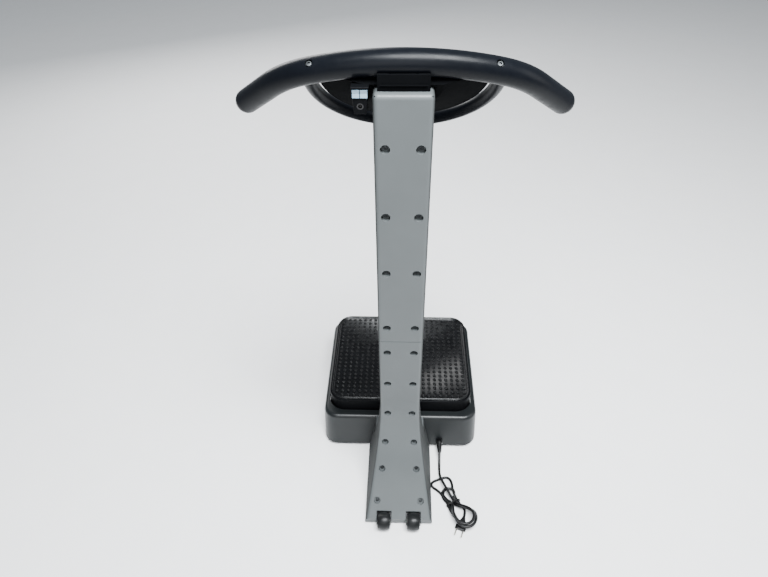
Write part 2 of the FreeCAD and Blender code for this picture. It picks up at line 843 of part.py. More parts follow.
def handle_screws(head_extra):
    """The two socket screws that hold the loop's legs to the bar."""
    made = []
    for side in (-1, 1):
        u = side * SCREW_U
        seat = -1.0
        if head_extra:
            made.append(rod(6.5, V(u, seat, 0), V(u, seat - 30, 0)))
            made.append(rod(3.0, V(u, seat - 1, 0), V(u, 52, 0)))
            continue
        head = rod(5, V(u, seat - 5, 0), V(u, seat, 0))
        socket = Part.Face(Part.makePolygon([
            V(
                u + 2.6 * math.cos(math.radians(60 * k)),
                seat - 5,
                2.6 * math.sin(math.radians(60 * k)),
            )
            for k in range(7)
        ])).extrude(V(0, 3, 0))
        made.append(head.cut(socket).fuse(rod(3.0, V(u, seat, 0), V(u, 52, 0))))
    return made


def handlebar_grip():
    grip = bar_solid(BAR_R, 0, True).cut(bar_solid(CORE_R, 12, False))
    for tool in handle_screws(True):
        grip = grip.cut(tool)
    return grip.cut(neck_block(0)).cut(grip_loop())


def handlebar_core():
    core = bar_solid(CORE_R, 12, False).cut(bar_solid(CORE_R - 2, 10, False))
    for tool in handle_screws(True):
        core = core.cut(tool)
    return core.cut(neck_block(0))


def neck_block(extra):
    """The steel neck between mast and bar, in the plane's own coordinates."""
    return in_plane(box(-20 - extra, 20 + extra, -140 - extra, -112 + extra, 1120, 1180 + extra))


def grip_loop():
    """A round bar bent to one wide arc, which hangs from the handlebar by its two ends."""
    drop = LOOP_START - LOOP_MID.y
    end = V(math.sqrt(LOOP_ARC ** 2 - drop ** 2), LOOP_START, 0)
    start = V(-end.x, end.y, 0)
    wire = Part.Wire([Part.Arc(start, LOOP_MID + V(0, LOOP_ARC, 0), end).toShape()])
    profile = Part.Wire(Part.makeCircle(LOOP_R, start, V(drop, end.x, 0)))
    loop = wire.makePipeShell([profile], True, True)
    for tool in handle_screws(True):
        loop = loop.cut(tool)
    return loop


def console_disc(inset, low, high):
    """A slice of the console's round outline, flat along the top, between two heights."""
    radius = CONSOLE_ARC - inset
    disc = Part.makeCylinder(radius, high - low, CONSOLE_MID + V(0, 0, low))
    return disc.common(box(-200, 200, CONSOLE_TOP + inset, 300, low, high))


def bowl(inset):
    """The rear housing's volume: a shallow cone that ends in a flat round back."""
    deep = CONSOLE_DEPTH - CONSOLE_FACE - inset
    high = 1.0 if inset else 0.0
    cone = Part.makeCone(
        CONSOLE_BACK_R - inset,
        CONSOLE_ARC - inset,
        deep - CONSOLE_RIM,
        CONSOLE_MID - V(0, 0, deep),
    )
    rim = Part.makeCylinder(CONSOLE_ARC - inset, CONSOLE_RIM + high, CONSOLE_MID - V(0, 0, CONSOLE_RIM))
    body = cone.fuse(rim)
    return body.common(box(-200, 200, CONSOLE_TOP + inset, 300, -60, 20)).removeSplitter()


def mast_room(extra):
    """The space that the mast's covers take, in the plane's own coordinates."""
    half = MAST_HALF + extra
    return in_plane(box(-half, half, MAST_REAR - 50, MAST_FRONT + extra, 900, MAST_TOP + extra))


def neck_hood():
    """The skirt of the console that closes the gap between the mast's top and the bar."""
    outer = in_plane(box(-44, 44, -147, -95, MAST_TOP + 0.6, 1178))
    ledge = in_plane(box(-40, 40, -149.5, -147, 1160, 1161.5))
    inner = in_plane(box(-24, 24, -143, -90, MAST_TOP, 1180))
    return outer.fuse(ledge).cut(inner)


def console_rear():
    shell = bowl(0).cut(bowl(CONSOLE_WALL))
    shell = shell.cut(mast_room(1.0))
    hood = neck_hood().cut(bowl(0)).cut(box(-150, 150, -100, 200, 0, 60))
    shell = shell.fuse(hood)
    for side in (-1, 1):
        for v in (60, 110):
            post = rod(4, V(side * 80, v, -30), V(side * 80, v, 0))
            shell = shell.fuse(post.common(bowl(0)))
    shell = shell.cut(bar_solid(BAR_R + 0.8, 0, True)).cut(neck_block(1.0))
    for back in (0, -12):
        shell = shell.cut(in_plane(switch_block(0).translated(V(0, back, 0))))
    return shell.removeSplitter()


def console_front():
    outer = console_disc(0, 0.4, CONSOLE_FACE)
    edge = [e for e in outer.Edges if e.BoundBox.ZMin > CONSOLE_FACE - 0.1]
    outer = outer.makeFillet(6, edge)
    inner = console_disc(CONSOLE_WALL, 0, CONSOLE_FACE - CONSOLE_WALL)
    shell = outer.cut(inner)
    window = box(-LENS_HALF + 4, LENS_HALF - 4, LENS_TOP + 4, LENS_LOW - 4, 0, 20)
    bed = box(-LENS_HALF - 0.2, LENS_HALF + 0.2, LENS_TOP - 0.2, LENS_LOW + 0.2, CONSOLE_FACE - 1.8, 20)
    shell = shell.cut(window).cut(bed)
    for u, v in KEYS.values():
        shell = shell.cut(rod(KEY_R + 0.3, V(u, v, 0), V(u, v, 20)))
    return shell.cut(bar_solid(BAR_R + 0.8, 0, True))


def display_lens():
    low = CONSOLE_FACE - 1.8
    return box(-LENS_HALF, LENS_HALF, LENS_TOP, LENS_LOW, low, low + LENS_THICK)


def display_panel():
    low = CONSOLE_FACE - CONSOLE_WALL - 5
    return box(-LENS_HALF + 1, LENS_HALF - 1, LENS_TOP + 1, LENS_LOW - 1, low, low + 4.8)


def console_board():
    board = box(-84, 84, 44, 156, 1.4, 3.0).common(console_disc(8, 0, 10))
    for u, v in KEYS.values():
        board = board.fuse(rod(3, V(u, v, 3), V(u, v, 6)))
    return board


def key_cap(u, v):
    """A key with a dished top and a flange behind the face."""
    flange = rod(KEY_R + 1.5, V(u, v, 8.2), V(u, v, CONSOLE_FACE - CONSOLE_WALL - 0.3))
    stem = rod(KEY_R, V(u, v, 8.2), V(u, v, CONSOLE_FACE + KEY_PROUD))
    top = [e for e in stem.Edges if e.BoundBox.ZMin > CONSOLE_FACE]
    stem = stem.makeFillet(1.0, top)
    dish = Part.makeSphere(30, V(u, v, CONSOLE_FACE + KEY_PROUD + 29.3))
    return stem.fuse(flange).cut(dish)


SWITCH_MID = -73.2
SWITCH_TOP_HALF = 15.0
SWITCH_LOW_HALF = 10.5
SWITCH_Z = (1110.0, 1157.0)
SWITCH_FACE = -147.0
SWITCH_DEPTH = 54.0
ROCKER_HALF = 6.0
ROCKER_Z = 1146.0
ROCKERS = {"rocker_left": SWITCH_MID - 6.7, "rocker_right": SWITCH_MID + 6.7}
JACK_AT = V(SWITCH_MID, SWITCH_FACE, 1123.5)


def switch_block(extra):
    """The block's outer volume: a wedge that narrows downwards."""
    low = SWITCH_LOW_HALF + extra
    top = SWITCH_TOP_HALF + extra
    corners = [
        V(SWITCH_MID - low, SWITCH_FACE, SWITCH_Z[0] - extra),
        V(SWITCH_MID + low, SWITCH_FACE, SWITCH_Z[0] - extra),
        V(SWITCH_MID + top, SWITCH_FACE, SWITCH_Z[1] + extra),
        V(SWITCH_MID - top, SWITCH_FACE, SWITCH_Z[1] + extra),
    ]
    return Part.Face(Part.makePolygon(corners + corners[:1])).extrude(V(0, SWITCH_DEPTH, 0))


def switch_box():
    """A block in the console's back that carries two rocker switches and a socket."""
    solid = switch_block(0)
    rim = [e for e in solid.Edges if e.BoundBox.YMax < SWITCH_FACE + 1]
    solid = solid.makeFillet(1.5, rim)
    for x in ROCKERS.values():
        half = ROCKER_HALF + 0.4
        room = box(x - half, x + half, -160, SWITCH_FACE + 9, ROCKER_Z - 7.4, ROCKER_Z + 7.4)
        solid = solid.cut(room)
    return solid.cut(rod(6, JACK_AT - V(0, 5, 0), JACK_AT + V(0, 12, 0)))


def rocker(x):
    """A switch face bent at its pivot, so one half stands out when the other is in."""
    y = SWITCH_FACE
    z = ROCKER_Z
    points = [
        V(x - ROCKER_HALF, y - 1.8, z + 6.6),
        V(x - ROCKER_HALF, y - 0.2, z),
        V(x - ROCKER_HALF, y - 1.8, z - 6.6),
        V(x - ROCKER_HALF, y + 4.5, z - 5.6),
        V(x - ROCKER_HALF, y + 4.5, z + 5.6),
    ]
    return Part.Face(Part.makePolygon(points + points[:1])).extrude(V(2 * ROCKER_HALF, 0, 0))


def jack_socket():
    a = JACK_AT + V(0, 1, 0)
    b = JACK_AT + V(0, 12, 0)
    pin = rod(0.9, JACK_AT + V(0, 3, 0), b)
    return ring(6, 3.6, a, b).fuse(rod(3.6, b - V(0, 2, 0), b)).fuse(pin)


def neck_steel():
    """The steel neck, with a saddle cut for the bar's core."""
    neck = box(-20, 20, -140, -112, TUBE_TOP, 1180)
    cap = box(-TUBE_HALF, TUBE_HALF, TUBE_REAR, TUBE_FRONT, TUBE_TOP, TUBE_TOP + 3)
    return neck.fuse(cap).cut(box(-17.5, 17.5, -137.5, -114.5, TUBE_TOP - 1, 1172))


# ---------------------------------------------------------------- mains cord

def cord_wire(points):
    """Straight runs and tangent arcs through the route's points."""
    edges = []
    here = points[0]
    for k in range(1, len(points) - 1):
        before = points[k] - points[k - 1]
        after = points[k + 1] - points[k]
        turn = before.getAngle(after)
        cut = 0.45 * min(before.Length, after.Length)
        radius = cut / math.tan(turn / 2)
        print("cord arc", k, "radius", round(radius, 1), "turn", round(math.degrees(turn), 1))
        first = points[k] - before.normalize() * cut
        last = points[k] + after.normalize() * cut
        chord = (first + last) * 0.5
        to_corner = points[k] - chord
        sag = radius * (1 - math.cos(turn / 2))
        middle = chord + to_corner.normalize() * sag
        edges.append(Part.LineSegment(here, first).toShape())
        edges.append(Part.Arc(first, middle, last).toShape())
        here = last
    edges.append(Part.LineSegment(here, points[-1]).toShape())
    return Part.Wire(edges)


def power_cord():
    wire = cord_wire(CORD_ROUTE)
    start = CORD_ROUTE[0]
    profile = Part.Wire(Part.makeCircle(CORD_R, start, CORD_ROUTE[1] - start))
    print("cord lead length", round(wire.Length, 1))
    return wire.makePipeShell([profile], True, True)


def strain_relief():
    """The ribbed sleeve where the cord leaves the base."""
    flange = rod(8, V(120, -84, 28), V(120, -72, 28))
    head = rod(11, V(120, -86, 28), V(120, -84, 28))
    cone = Part.makeCone(8.0, 5.4, 30, V(120, -86, 28), V(0, -20, -2.2))
    sleeve = fuse(flange, head, cone)
    return sleeve.cut(power_cord())


def hank_frame(shape):
    """Turns a shape drawn along +X from the origin to lie along the hank."""
    along = HANK_TO - HANK_FROM
    angle = math.degrees(math.atan2(along.y, along.x))
    shape.rotate(V(0, 0, 0), V(0, 0, 1), angle)
    shape.translate(HANK_FROM)
    return shape


def cord_hank():
    """The outer shape of the folded cord: a wide turn on the floor, a tied waist, a fanned far end."""
    length = (HANK_TO - HANK_FROM).Length
    waist = HANK_WAIST_HALF
    wide = 29.0
    wire = Part.Wire([
        Part.LineSegment(V(5, -22, 0), V(HANK_WAIST, -waist, 0)).toShape(),
        Part.LineSegment(V(HANK_WAIST, -waist, 0), V(length - 34, -wide, 0)).toShape(),
        Part.Arc(V(length - 34, -wide, 0), V(length, 0, 0), V(length - 34, wide, 0)).toShape(),
        Part.LineSegment(V(length - 34, wide, 0), V(HANK_WAIST, waist, 0)).toShape(),
        Part.LineSegment(V(HANK_WAIST, waist, 0), V(5, 26, 0)).toShape(),
        Part.Arc(V(5, 26, 0), V(-19, 2, 0), V(5, -22, 0)).toShape(),
    ])
    plan = Part.Face(wire).extrude(V(0, 0, 60))
    lift = PLUG_TALL + 0.4
    side = [
        V(-22, -60, 0.3),
        V(length - 60, -60, 0.3),
        V(length - 44, -60, lift),
        V(length + 5, -60, lift),
        V(length + 5, -60, lift + HANK_FAN),
        V(length - 44, -60, lift + HANK_FAN),
        V(length - 74, -60, HANK_TOP),
        V(-22, -60, HANK_TOP),
    ]
    profile = Part.Face(Part.makePolygon(side + side[:1])).extrude(V(0, 120, 0))
    near = HANK_WAIST - 4
    wide_turn = [V(-9, -28, 0.3), V(near, -waist, 0.3), V(near, waist, 0.3), V(-9, 32, 0.3)]
    turn = Part.Face(Part.makePolygon(wide_turn + wide_turn[:1])).extrude(V(0, 0, 7.6))
    turn = turn.fuse(Part.makeCylinder(30, 7.6, V(-9, 2, 0.3)))
    body = hank_frame(plan.common(profile).fuse(turn))
    return body.cut(power_cord())


def cord_ties():
    """The twist tie round the hank's waist."""
    half = HANK_WAIST_HALF + 0.9
    at = HANK_WAIST
    band = box(at - 2.2, at + 2.2, -half - 1.2, half + 1.2, 0.0, HANK_TOP + 1.4)
    band = band.cut(box(at - 3, at + 3, -half, half, 0.25, HANK_TOP + 0.2))
    twist = box(at - 1.5, at + 1.5, -9, 9, HANK_TOP + 1.4, HANK_TOP + 3.6)
    return [hank_frame(band.fuse(twist))]


def plug_frame(shape):
    """Turns a shape drawn along +X from the plug's face to its place on the floor."""
    shape.rotate(V(0, 0, 0), V(0, 0, 1), math.degrees(math.atan2(PLUG_AIM.y, PLUG_AIM.x)))
    shape.translate(PLUG_FACE)
    return shape


def plug():
    """A flat two-pin plug that lies under the far end of the hank."""
    body = box(-37, 0, -15, 15, 0.4, PLUG_TALL)
    corners = [e for e in body.Edges if e.BoundBox.ZLength > 5]
    return plug_frame(body.makeFillet(6, corners))


def plug_pins():
    return [plug_frame(rod(2.0, V(0, y, 6.7), V(19, y, 6.7))) for y in (-9.3, 9.3)]


# ---------------------------------------------------------------- write every node

outer = soften(mast_volume(0, TAIL_LOW), MAST_EDGE)
inner = mast_volume(WALL, TAIL_LOW - 1)
lower_rows = LOWER_ROWS + TAIL_ROWS
half_gap = SEAM_GAP / 2
upper_rear = make_rear(MAST_SEAM + half_gap, MAST_TOP + 5, UPPER_ROWS, outer, inner)
upper_rear = upper_rear.cut(box(-26, 26, -147, -100, MAST_TOP - 10, MAST_TOP + 10))
lower_rear = make_rear(TAIL_LOW - 1, MAST_SEAM - half_gap, lower_rows, outer, inner)
for notch in wheel_notches():
    lower_rear = lower_rear.cut(notch)
doorway = box(-75, 75, BASE_NEAR - 12, 0, 0, 95)
lower_rear = lower_rear.cut(doorway)
upper_front = front_cover(MAST_SEAM + half_gap, MAST_TOP + 5, UPPER_ROWS, outer, inner)
upper_front = upper_front.cut(box(-26, 26, -147, -100, MAST_TOP - 10, MAST_TOP + 10))
lower_front = front_cover(127.6, MAST_SEAM - half_gap, lower_rows, outer, inner)

save("rear_cover_upper", upper_rear)
save("rear_cover_lower", lower_rear)
save("front_cover_upper", upper_front)
save("front_cover_lower", lower_front)
save("cover_screws", Part.makeCompound(cover_screws(UPPER_ROWS + lower_rows)))
save("tail_bracket", tail_bracket())
save("mast_tube", mast_tube().fuse(neck_steel()))
save("mast_bolts", Part.makeCompound(mast_bolts()))

save("base_cover", base_cover())
save("bottom_plate", bottom_plate())
save("rubber_feet", rubber_feet())
save("base_frame", base_frame())
save("wheel_forks", wheel_forks())
save("wheel_pins", wheel_pins())
save("wheel_left", wheel(-1))
save("wheel_right", wheel(1))

save("platform_cover", platform_cover())
save("platform_mat", platform_mat())
save("deck_board", deck_board())
save("platform_frame", platform_frame())
save("rod_pins", Part.makeCompound([rod_pin(-1, 22), rod_pin(1, 22)]))
save("pivot_bushes", pivot_bushes())
save("pivot_brackets", pivot_brackets())
save("pivot_pins", pivot_pins())
save("drive_shaft", drive_shaft())
save("drive_pulley", pulley(BIG_PULLEY_R, SHAFT_R, DRIVE_Y, DRIVE_Z))
save("drive_belt", drive_belt())
save("motor", motor())
save("motor_cradle", motor_cradle())
save("motor_shaft", across(MOTOR_SHAFT_R, PULLEY_X - 10, MOTOR_NEAR + 55, MOTOR_Y, MOTOR_Z))
save("motor_pulley", pulley(SMALL_PULLEY_R, MOTOR_SHAFT_R, MOTOR_Y, MOTOR_Z))
save("bearing_blocks", bearing_blocks())
save("shaft_bearings", shaft_bearings())
save("connecting_rod_left", connecting_rod(-1))
save("connecting_rod_right", connecting_rod(1))
save("control_box", control_box())
save("control_board", control_board())

save("handlebar_grip", tilted(handlebar_grip()))
save("handlebar_core", tilted(handlebar_core()))
save("handlebar_screws", tilted(Part.makeCompound(handle_screws(False))))
save("grip_loop", tilted(grip_loop()))
save("console_rear", tilted(console_rear()))
save("console_front", tilted(console_front()))
save("display_lens", tilted(display_lens()))
save("display_panel", tilted(display_panel()))
save("console_board", tilted(console_board()))
for name, (u, v) in KEYS.items():
    save(name, tilted(key_cap(u, v)))
save("switch_box", switch_box())
for name, x in ROCKERS.items():
    save(name, rocker(x))
save("jack_socket", jack_socket())

save("power_cord", power_cord())
save("strain_relief", strain_relief())
save("cord_hank", cord_hank())
save("cord_ties", Part.makeCompound(cord_ties()))
save("plug", plug())
save("plug_pins", Part.makeCompound(plug_pins()))
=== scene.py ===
"""Looks of the vibration plate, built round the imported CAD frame. Units are metres."""

import json
import math

import bmesh
import bpy
from mathutils import Matrix, Vector


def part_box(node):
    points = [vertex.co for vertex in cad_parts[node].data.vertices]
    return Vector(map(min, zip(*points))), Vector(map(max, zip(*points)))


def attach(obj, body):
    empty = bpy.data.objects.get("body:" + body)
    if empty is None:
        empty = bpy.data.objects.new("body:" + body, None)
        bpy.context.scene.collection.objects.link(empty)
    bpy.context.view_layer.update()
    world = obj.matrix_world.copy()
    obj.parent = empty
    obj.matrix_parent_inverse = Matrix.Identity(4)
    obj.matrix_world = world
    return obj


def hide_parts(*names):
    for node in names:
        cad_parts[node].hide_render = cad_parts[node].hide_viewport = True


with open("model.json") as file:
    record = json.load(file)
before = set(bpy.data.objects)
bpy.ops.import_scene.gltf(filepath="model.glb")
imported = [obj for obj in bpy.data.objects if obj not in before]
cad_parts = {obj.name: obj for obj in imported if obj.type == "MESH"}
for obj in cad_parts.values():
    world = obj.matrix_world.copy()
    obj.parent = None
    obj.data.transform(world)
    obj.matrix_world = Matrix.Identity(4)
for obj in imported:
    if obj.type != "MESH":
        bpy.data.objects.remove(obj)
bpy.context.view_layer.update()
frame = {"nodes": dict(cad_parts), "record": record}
NODES = frame["nodes"]
SLOT_OF = {p["node"]: p["material_slot"] for p in frame["record"]["subparts"]}
MAIN = "frame"
MM = 0.001

# Nodes whose look differs from the rest of their slot
NODE_MATERIAL = {"console_rear": "console_shell"}

# The handlebar's plane: its place, and how far it tips towards the user
PLANE = Matrix.Translation((0, -0.114, 1.181)) @ Matrix.Rotation(math.radians(-50), 4, "X")

# The mains cord: its lead from the base to the hank, the hank's axis, and the plug's place
CORD_DIAMETER = 0.0075
CORD_ROUTE = [
    (0.120, -0.084, 0.028),
    (0.120, -0.106, 0.026),
    (0.1196, -0.128, 0.017),
    (0.119, -0.150, 0.0075),
    (0.118, -0.172, 0.005),
    (0.1205, -0.192, 0.012),
    (0.1265, -0.209, 0.0185),
    (0.134, -0.226, 0.020),
]
HANK_FROM = Vector((0.134, -0.226, 0))
HANK_TO = Vector((0.188, -0.340, 0))
PLUG_FACE = Vector((0.167, -0.343, 0.0067))
PLUG_AIM = Vector((-0.36, -0.93, 0)).normalized()
PLUG_LONG = 0.037


# ---------------------------------------------------------------- small helpers

def collect(name, verts, faces, smooth=True):
    """A new mesh object in the scene, from points and faces."""
    mesh = bpy.data.meshes.new(name)
    mesh.from_pydata([tuple(v) for v in verts], [], faces)
    mesh.validate()
    obj = bpy.data.objects.new(name, mesh)
    bpy.context.scene.collection.objects.link(obj)
    for face in mesh.polygons:
        face.use_smooth = smooth
    return obj


def outward(obj):
    """Turns every face of a mesh to look outwards."""
    work = bmesh.new()
    work.from_mesh(obj.data)
    bmesh.ops.recalc_face_normals(work, faces=work.faces)
    work.to_mesh(obj.data)
    work.free()
    return obj


def finish_edges(obj, width, segments=2, angle=35):
    """Rounds the sharp edges of a piece."""
    bevel = obj.modifiers.new("edge", "BEVEL")
    bevel.width = width
    bevel.segments = segments
    bevel.limit_method = "ANGLE"
    bevel.angle_limit = math.radians(angle)
    return obj


def round_curve(name, points, radius, across=5):
    """A round cord on one spline; its radius sits on the points, so its bounds stay true."""
    data = bpy.data.curves.new(name, "CURVE")
    data.dimensions = "3D"
    data.resolution_u = 6
    data.bevel_depth = 1.0
    data.bevel_resolution = across
    data.use_fill_caps = True
    spline = data.splines.new("NURBS")
    spline.points.add(len(points) - 1)
    for spot, point in zip(spline.points, points):
        spot.co = (*point, 1)
        spot.radius = radius
    spline.order_u = 3
    spline.use_endpoint_u = True
    curve = bpy.data.objects.new(name, data)
    bpy.context.scene.collection.objects.link(curve)
    return curve


def wear(obj, material, materials):
    """Gives a piece its material."""
    obj.data.materials.append(materials[material])
    return obj


def bridge(faces, rings, steps, base=0):
    """Adds the quads between rings of points that follow one another."""
    for ring in range(rings - 1):
        first = base + ring * steps
        for k in range(steps):
            a = first + k
            b = first + (k + 1) % steps
            faces.append((a, b, b + steps, a + steps))


def cap(faces, first, count):
    """Closes one ring of points with a single face."""
    faces.append(tuple(first + k for k in range(count)))


def squared(angle, cos_power, sin_power):
    """A point of the unit circle, pulled out towards the corners of a square."""
    across = math.cos(angle)
    up = math.sin(angle)
    return (
        math.copysign(abs(across) ** cos_power, across),
        math.copysign(abs(up) ** sin_power, up),
    )


def lathe(name, profile, start, axis, steps=48, caps=True):
    """A turned piece: (distance along, radius) pairs about an axis."""
    axis = Vector(axis).normalized()
    side = axis.orthogonal().normalized()
    other = axis.cross(side)
    verts = []
    faces = []
    for along, radius in profile:
        for k in range(steps):
            a = 2 * math.pi * k / steps
            spoke = side * math.cos(a) + other * math.sin(a)
            verts.append(Vector(start) + axis * along + spoke * radius)
    bridge(faces, len(profile), steps)
    if caps:
        cap(faces, 0, steps)
        cap(faces, (len(profile) - 1) * steps, steps)
    return outward(collect(name, verts, faces))


# ---------------------------------------------------------------- materials

def noise(tree, coords, scale, detail, rough=0.55):
    made = tree.nodes.new("ShaderNodeTexNoise")
    made.inputs["Scale"].default_value = scale
    made.inputs["Detail"].default_value = detail
    made.inputs["Roughness"].default_value = rough
    tree.links.new(coords, made.inputs["Vector"])
    return made.outputs["Fac"]


def ramp(tree, source, low, high, to_low=0, to_high=1):
    """Maps low..high onto to_low..to_high, and holds the ends."""
    made = tree.nodes.new("ShaderNodeMapRange")
    made.inputs["From Min"].default_value = low
    made.inputs["From Max"].default_value = high
    made.inputs["To Min"].default_value = to_low
    made.inputs["To Max"].default_value = to_high
    tree.links.new(source, made.inputs["Value"])
    return made.outputs["Result"]


def mix_colour(tree, factor, first, second):
    made = tree.nodes.new("ShaderNodeMix")
    made.data_type = "RGBA"
    made.inputs["A"].default_value = (*first, 1)
    made.inputs["B"].default_value = (*second, 1)
    tree.links.new(factor, made.inputs["Factor"])
    return made.outputs["Result"]


def bump(tree, height, strength, distance, under=None):
    made = tree.nodes.new("ShaderNodeBump")
    made.inputs["Strength"].default_value = strength
    made.inputs["Distance"].default_value = distance
    tree.links.new(height, made.inputs["Height"])
    if under is not None:
        tree.links.new(under, made.inputs["Normal"])
    return made.outputs["Normal"]


def surface(name, colour, rough, metal=0.0, grain=1400, grain_deep=0.00005, mottle=0.12,
            smudge=0.08, specular=0.5, coat=0.0, waves=0.0):
    """A worked surface: fine grain, a slow mottle in colour, and smudges in its gloss."""
    mat = bpy.data.materials.new(name)
    mat.use_nodes = True
    tree = mat.node_tree
    shader = tree.nodes["Principled BSDF"]
    shader.inputs["Metallic"].default_value = metal
    shader.inputs["Specular IOR Level"].default_value = specular
    shader.inputs["Coat Weight"].default_value = coat
    shader.inputs["Coat Roughness"].default_value = 0.12
    coords = tree.nodes.new("ShaderNodeTexCoord").outputs["Object"]
    slow = noise(tree, coords, 9, 3)
    middle = noise(tree, coords, 70, 5)
    fine = noise(tree, coords, grain, 2, 0.5)
    dark = tuple(c * (1 - mottle) for c in colour)
    light = tuple(min(1, c * (1 + mottle)) for c in colour)
    blend = ramp(tree, slow, 0.3, 0.7)
    tree.links.new(mix_colour(tree, blend, dark, light), shader.inputs["Base Color"])
    gloss = ramp(tree, middle, 0.3, 0.7, rough - smudge, rough + smudge)
    tree.links.new(gloss, shader.inputs["Roughness"])
    normal = bump(tree, fine, 0.6, grain_deep)
    if waves:
        normal = bump(tree, slow, 0.5, waves, normal)
    tree.links.new(normal, shader.inputs["Normal"])
    return mat


def paint_shade_on_sides(mat, colour, rough):
    """Paints shade on the narrow sides of the covers: they are drawn darker than their broad faces, a
    painted shade for the light that falls less on them, and are given a duller roughness.
    """
    tree = mat.node_tree
    shader = tree.nodes["Principled BSDF"]
    base = shader.inputs["Base Color"]
    plain = base.links[0].from_socket
    split = tree.nodes.new("ShaderNodeSeparateXYZ")
    tree.links.new(tree.nodes.new("ShaderNodeTexCoord").outputs["Normal"], split.inputs["Vector"])
    sideways = tree.nodes.new("ShaderNodeMath")
    sideways.operation = "ABSOLUTE"
    tree.links.new(split.outputs["X"], sideways.inputs[0])
    blend = tree.nodes.new("ShaderNodeMix")
    blend.data_type = "RGBA"
    blend.inputs["B"].default_value = (*colour, 1)
    # Faces that look along x take the painted shade colour and the duller roughness
    share = ramp(tree, sideways.outputs["Value"], 0.5, 0.9)
    tree.links.new(share, blend.inputs["Factor"])
    tree.links.new(plain, blend.inputs["A"])
    tree.links.new(blend.outputs["Result"], base)
    duller = tree.nodes.new("ShaderNodeMix")
    duller.inputs["B"].default_value = rough
    tree.links.new(share, duller.inputs["Factor"])
    tree.links.new(shader.inputs["Roughness"].links[0].from_socket, duller.inputs["A"])
    tree.links.new(duller.outputs["Result"], shader.inputs["Roughness"])


# Each material's colour, roughness and what differs from a plain surface
LOOKS = {
    "silver_plastic": dict(colour=(0.076, 0.084, 0.086), rough=0.38, metal=0.06, grain=2600,
                           grain_deep=0.00002, mottle=0.05, smudge=0.05, specular=0.25, waves=0.0003),
    "zinc_steel": dict(colour=(0.5, 0.5, 0.48), rough=0.32, metal=1.0, grain=900, mottle=0.15),
    # A dark screw finish, made darker still as painted shade for the deep pockets the heads sit in
    "dark_zinc_and_pocket_shade": dict(colour=(0.035, 0.038, 0.04), rough=0.45, metal=0.8, grain=900, mottle=0.2),
    "black_steel": dict(colour=(0.006, 0.006, 0.0066), rough=0.45, grain=500, grain_deep=0.0001,
                        specular=0.2),
    "grey_plastic": dict(colour=(0.0055, 0.0068, 0.0073), rough=0.34, grain=1500,
                         grain_deep=0.000008, mottle=0.06, smudge=0.02, specular=0.3, waves=0.0001),
    "black_rubber": dict(colour=(0.0035, 0.0037, 0.0042), rough=0.3, grain=1100,
                         grain_deep=0.00006, mottle=0.25, smudge=0.1, specular=0.2),
    "wheel_plastic": dict(colour=(0.005, 0.0054, 0.0056), rough=0.38, grain=800, mottle=0.3,
                          specular=0.2),
    "black_plastic": dict(colour=(0.0028, 0.003, 0.0035), rough=0.4, grain=1300,
                          grain_deep=0.00006, specular=0.03),
    "console_shell": dict(colour=(0.0024, 0.0026, 0.003), rough=0.75, grain=1300,
                          grain_deep=0.00006, smudge=0.04, specular=0.01),
    "deck_wood": dict(colour=(0.3, 0.2, 0.12), rough=0.7, grain=500, grain_deep=0.0002),
    "bronze": dict(colour=(0.5, 0.33, 0.15), rough=0.35, metal=1.0, grain=700),
    "bare_steel": dict(colour=(0.45, 0.45, 0.45), rough=0.28, metal=1.0, grain=900),
    "cast_alloy": dict(colour=(0.48, 0.48, 0.49), rough=0.5, metal=0.9, grain=500,
                       grain_deep=0.00015),
    "cast_iron": dict(colour=(0.06, 0.06, 0.065), rough=0.6, metal=0.6, grain=400,
                      grain_deep=0.0002),
    "board_green": dict(colour=(0.015, 0.09, 0.04), rough=0.35, grain=700),
    "grip_foam": dict(colour=(0.0024, 0.003, 0.0044), rough=0.34, grain=1500,
                      grain_deep=0.00003, smudge=0.05, specular=0.1, waves=0.0003),
    "console_face": dict(colour=(0.008, 0.009, 0.01), rough=0.2, grain=900,
                         grain_deep=0.00001, coat=0.4),
    "display_glass": dict(colour=(0.004, 0.006, 0.008), rough=0.09, grain=400,
                          grain_deep=0.000004, smudge=0.03, coat=0.6),
    "display_dark": dict(colour=(0.012, 0.018, 0.018), rough=0.4),
    "display_mark": dict(colour=(0.3, 0.36, 0.34), rough=0.45, grain=1200, grain_deep=0.00001),
    "key_green": dict(colour=(0.012, 0.15, 0.04), rough=0.4, grain=1200),
    "key_red": dict(colour=(0.26, 0.01, 0.01), rough=0.4, grain=1200),
    "key_grey": dict(colour=(0.13, 0.14, 0.15), rough=0.4, grain=1200),
    "key_print": dict(colour=(0.55, 0.56, 0.56), rough=0.5, grain=1200, grain_deep=0.00001),
    # The rocker is white; the blue in this colour is a painted reflection of bluish light
    "rocker_white": dict(colour=(0.17, 0.25, 0.32), rough=0.25, grain=900,
                         grain_deep=0.00001, mottle=0.04),
    "jack_plastic": dict(colour=(0.005, 0.005, 0.0055), rough=0.25, grain=900),
    "cord_black": dict(colour=(0.004, 0.004, 0.0044), rough=0.36, grain=900,
                       grain_deep=0.00005, mottle=0.2, specular=0.2),
    "tie_black": dict(colour=(0.004, 0.004, 0.004), rough=0.4, grain=900, specular=0.25),
    "brass_nickel": dict(colour=(0.6, 0.58, 0.53), rough=0.22, metal=1.0, grain=800),
}
# Painted shade for the covers' narrow sides: its darker colour, and the roughness there
PAINTED_SIDE_SHADE = (0.022, 0.024, 0.024)
SIDE_ROUGH = 0.85


def make_materials():
    made = {name: surface(name, **look) for name, look in LOOKS.items()}
    paint_shade_on_sides(made["silver_plastic"], PAINTED_SIDE_SHADE, SIDE_ROUGH)
    return made


def dress_nodes(materials):
    """Puts each CAD node in the material of its slot."""
    for name, obj in NODES.items():
        mat = materials[NODE_MATERIAL.get(name, SLOT_OF[name])]
        if not obj.material_slots:
            obj.data.materials.append(mat)
        for slot in obj.material_slots:
            slot.material = mat


# ---------------------------------------------------------------- camera, floor and lights

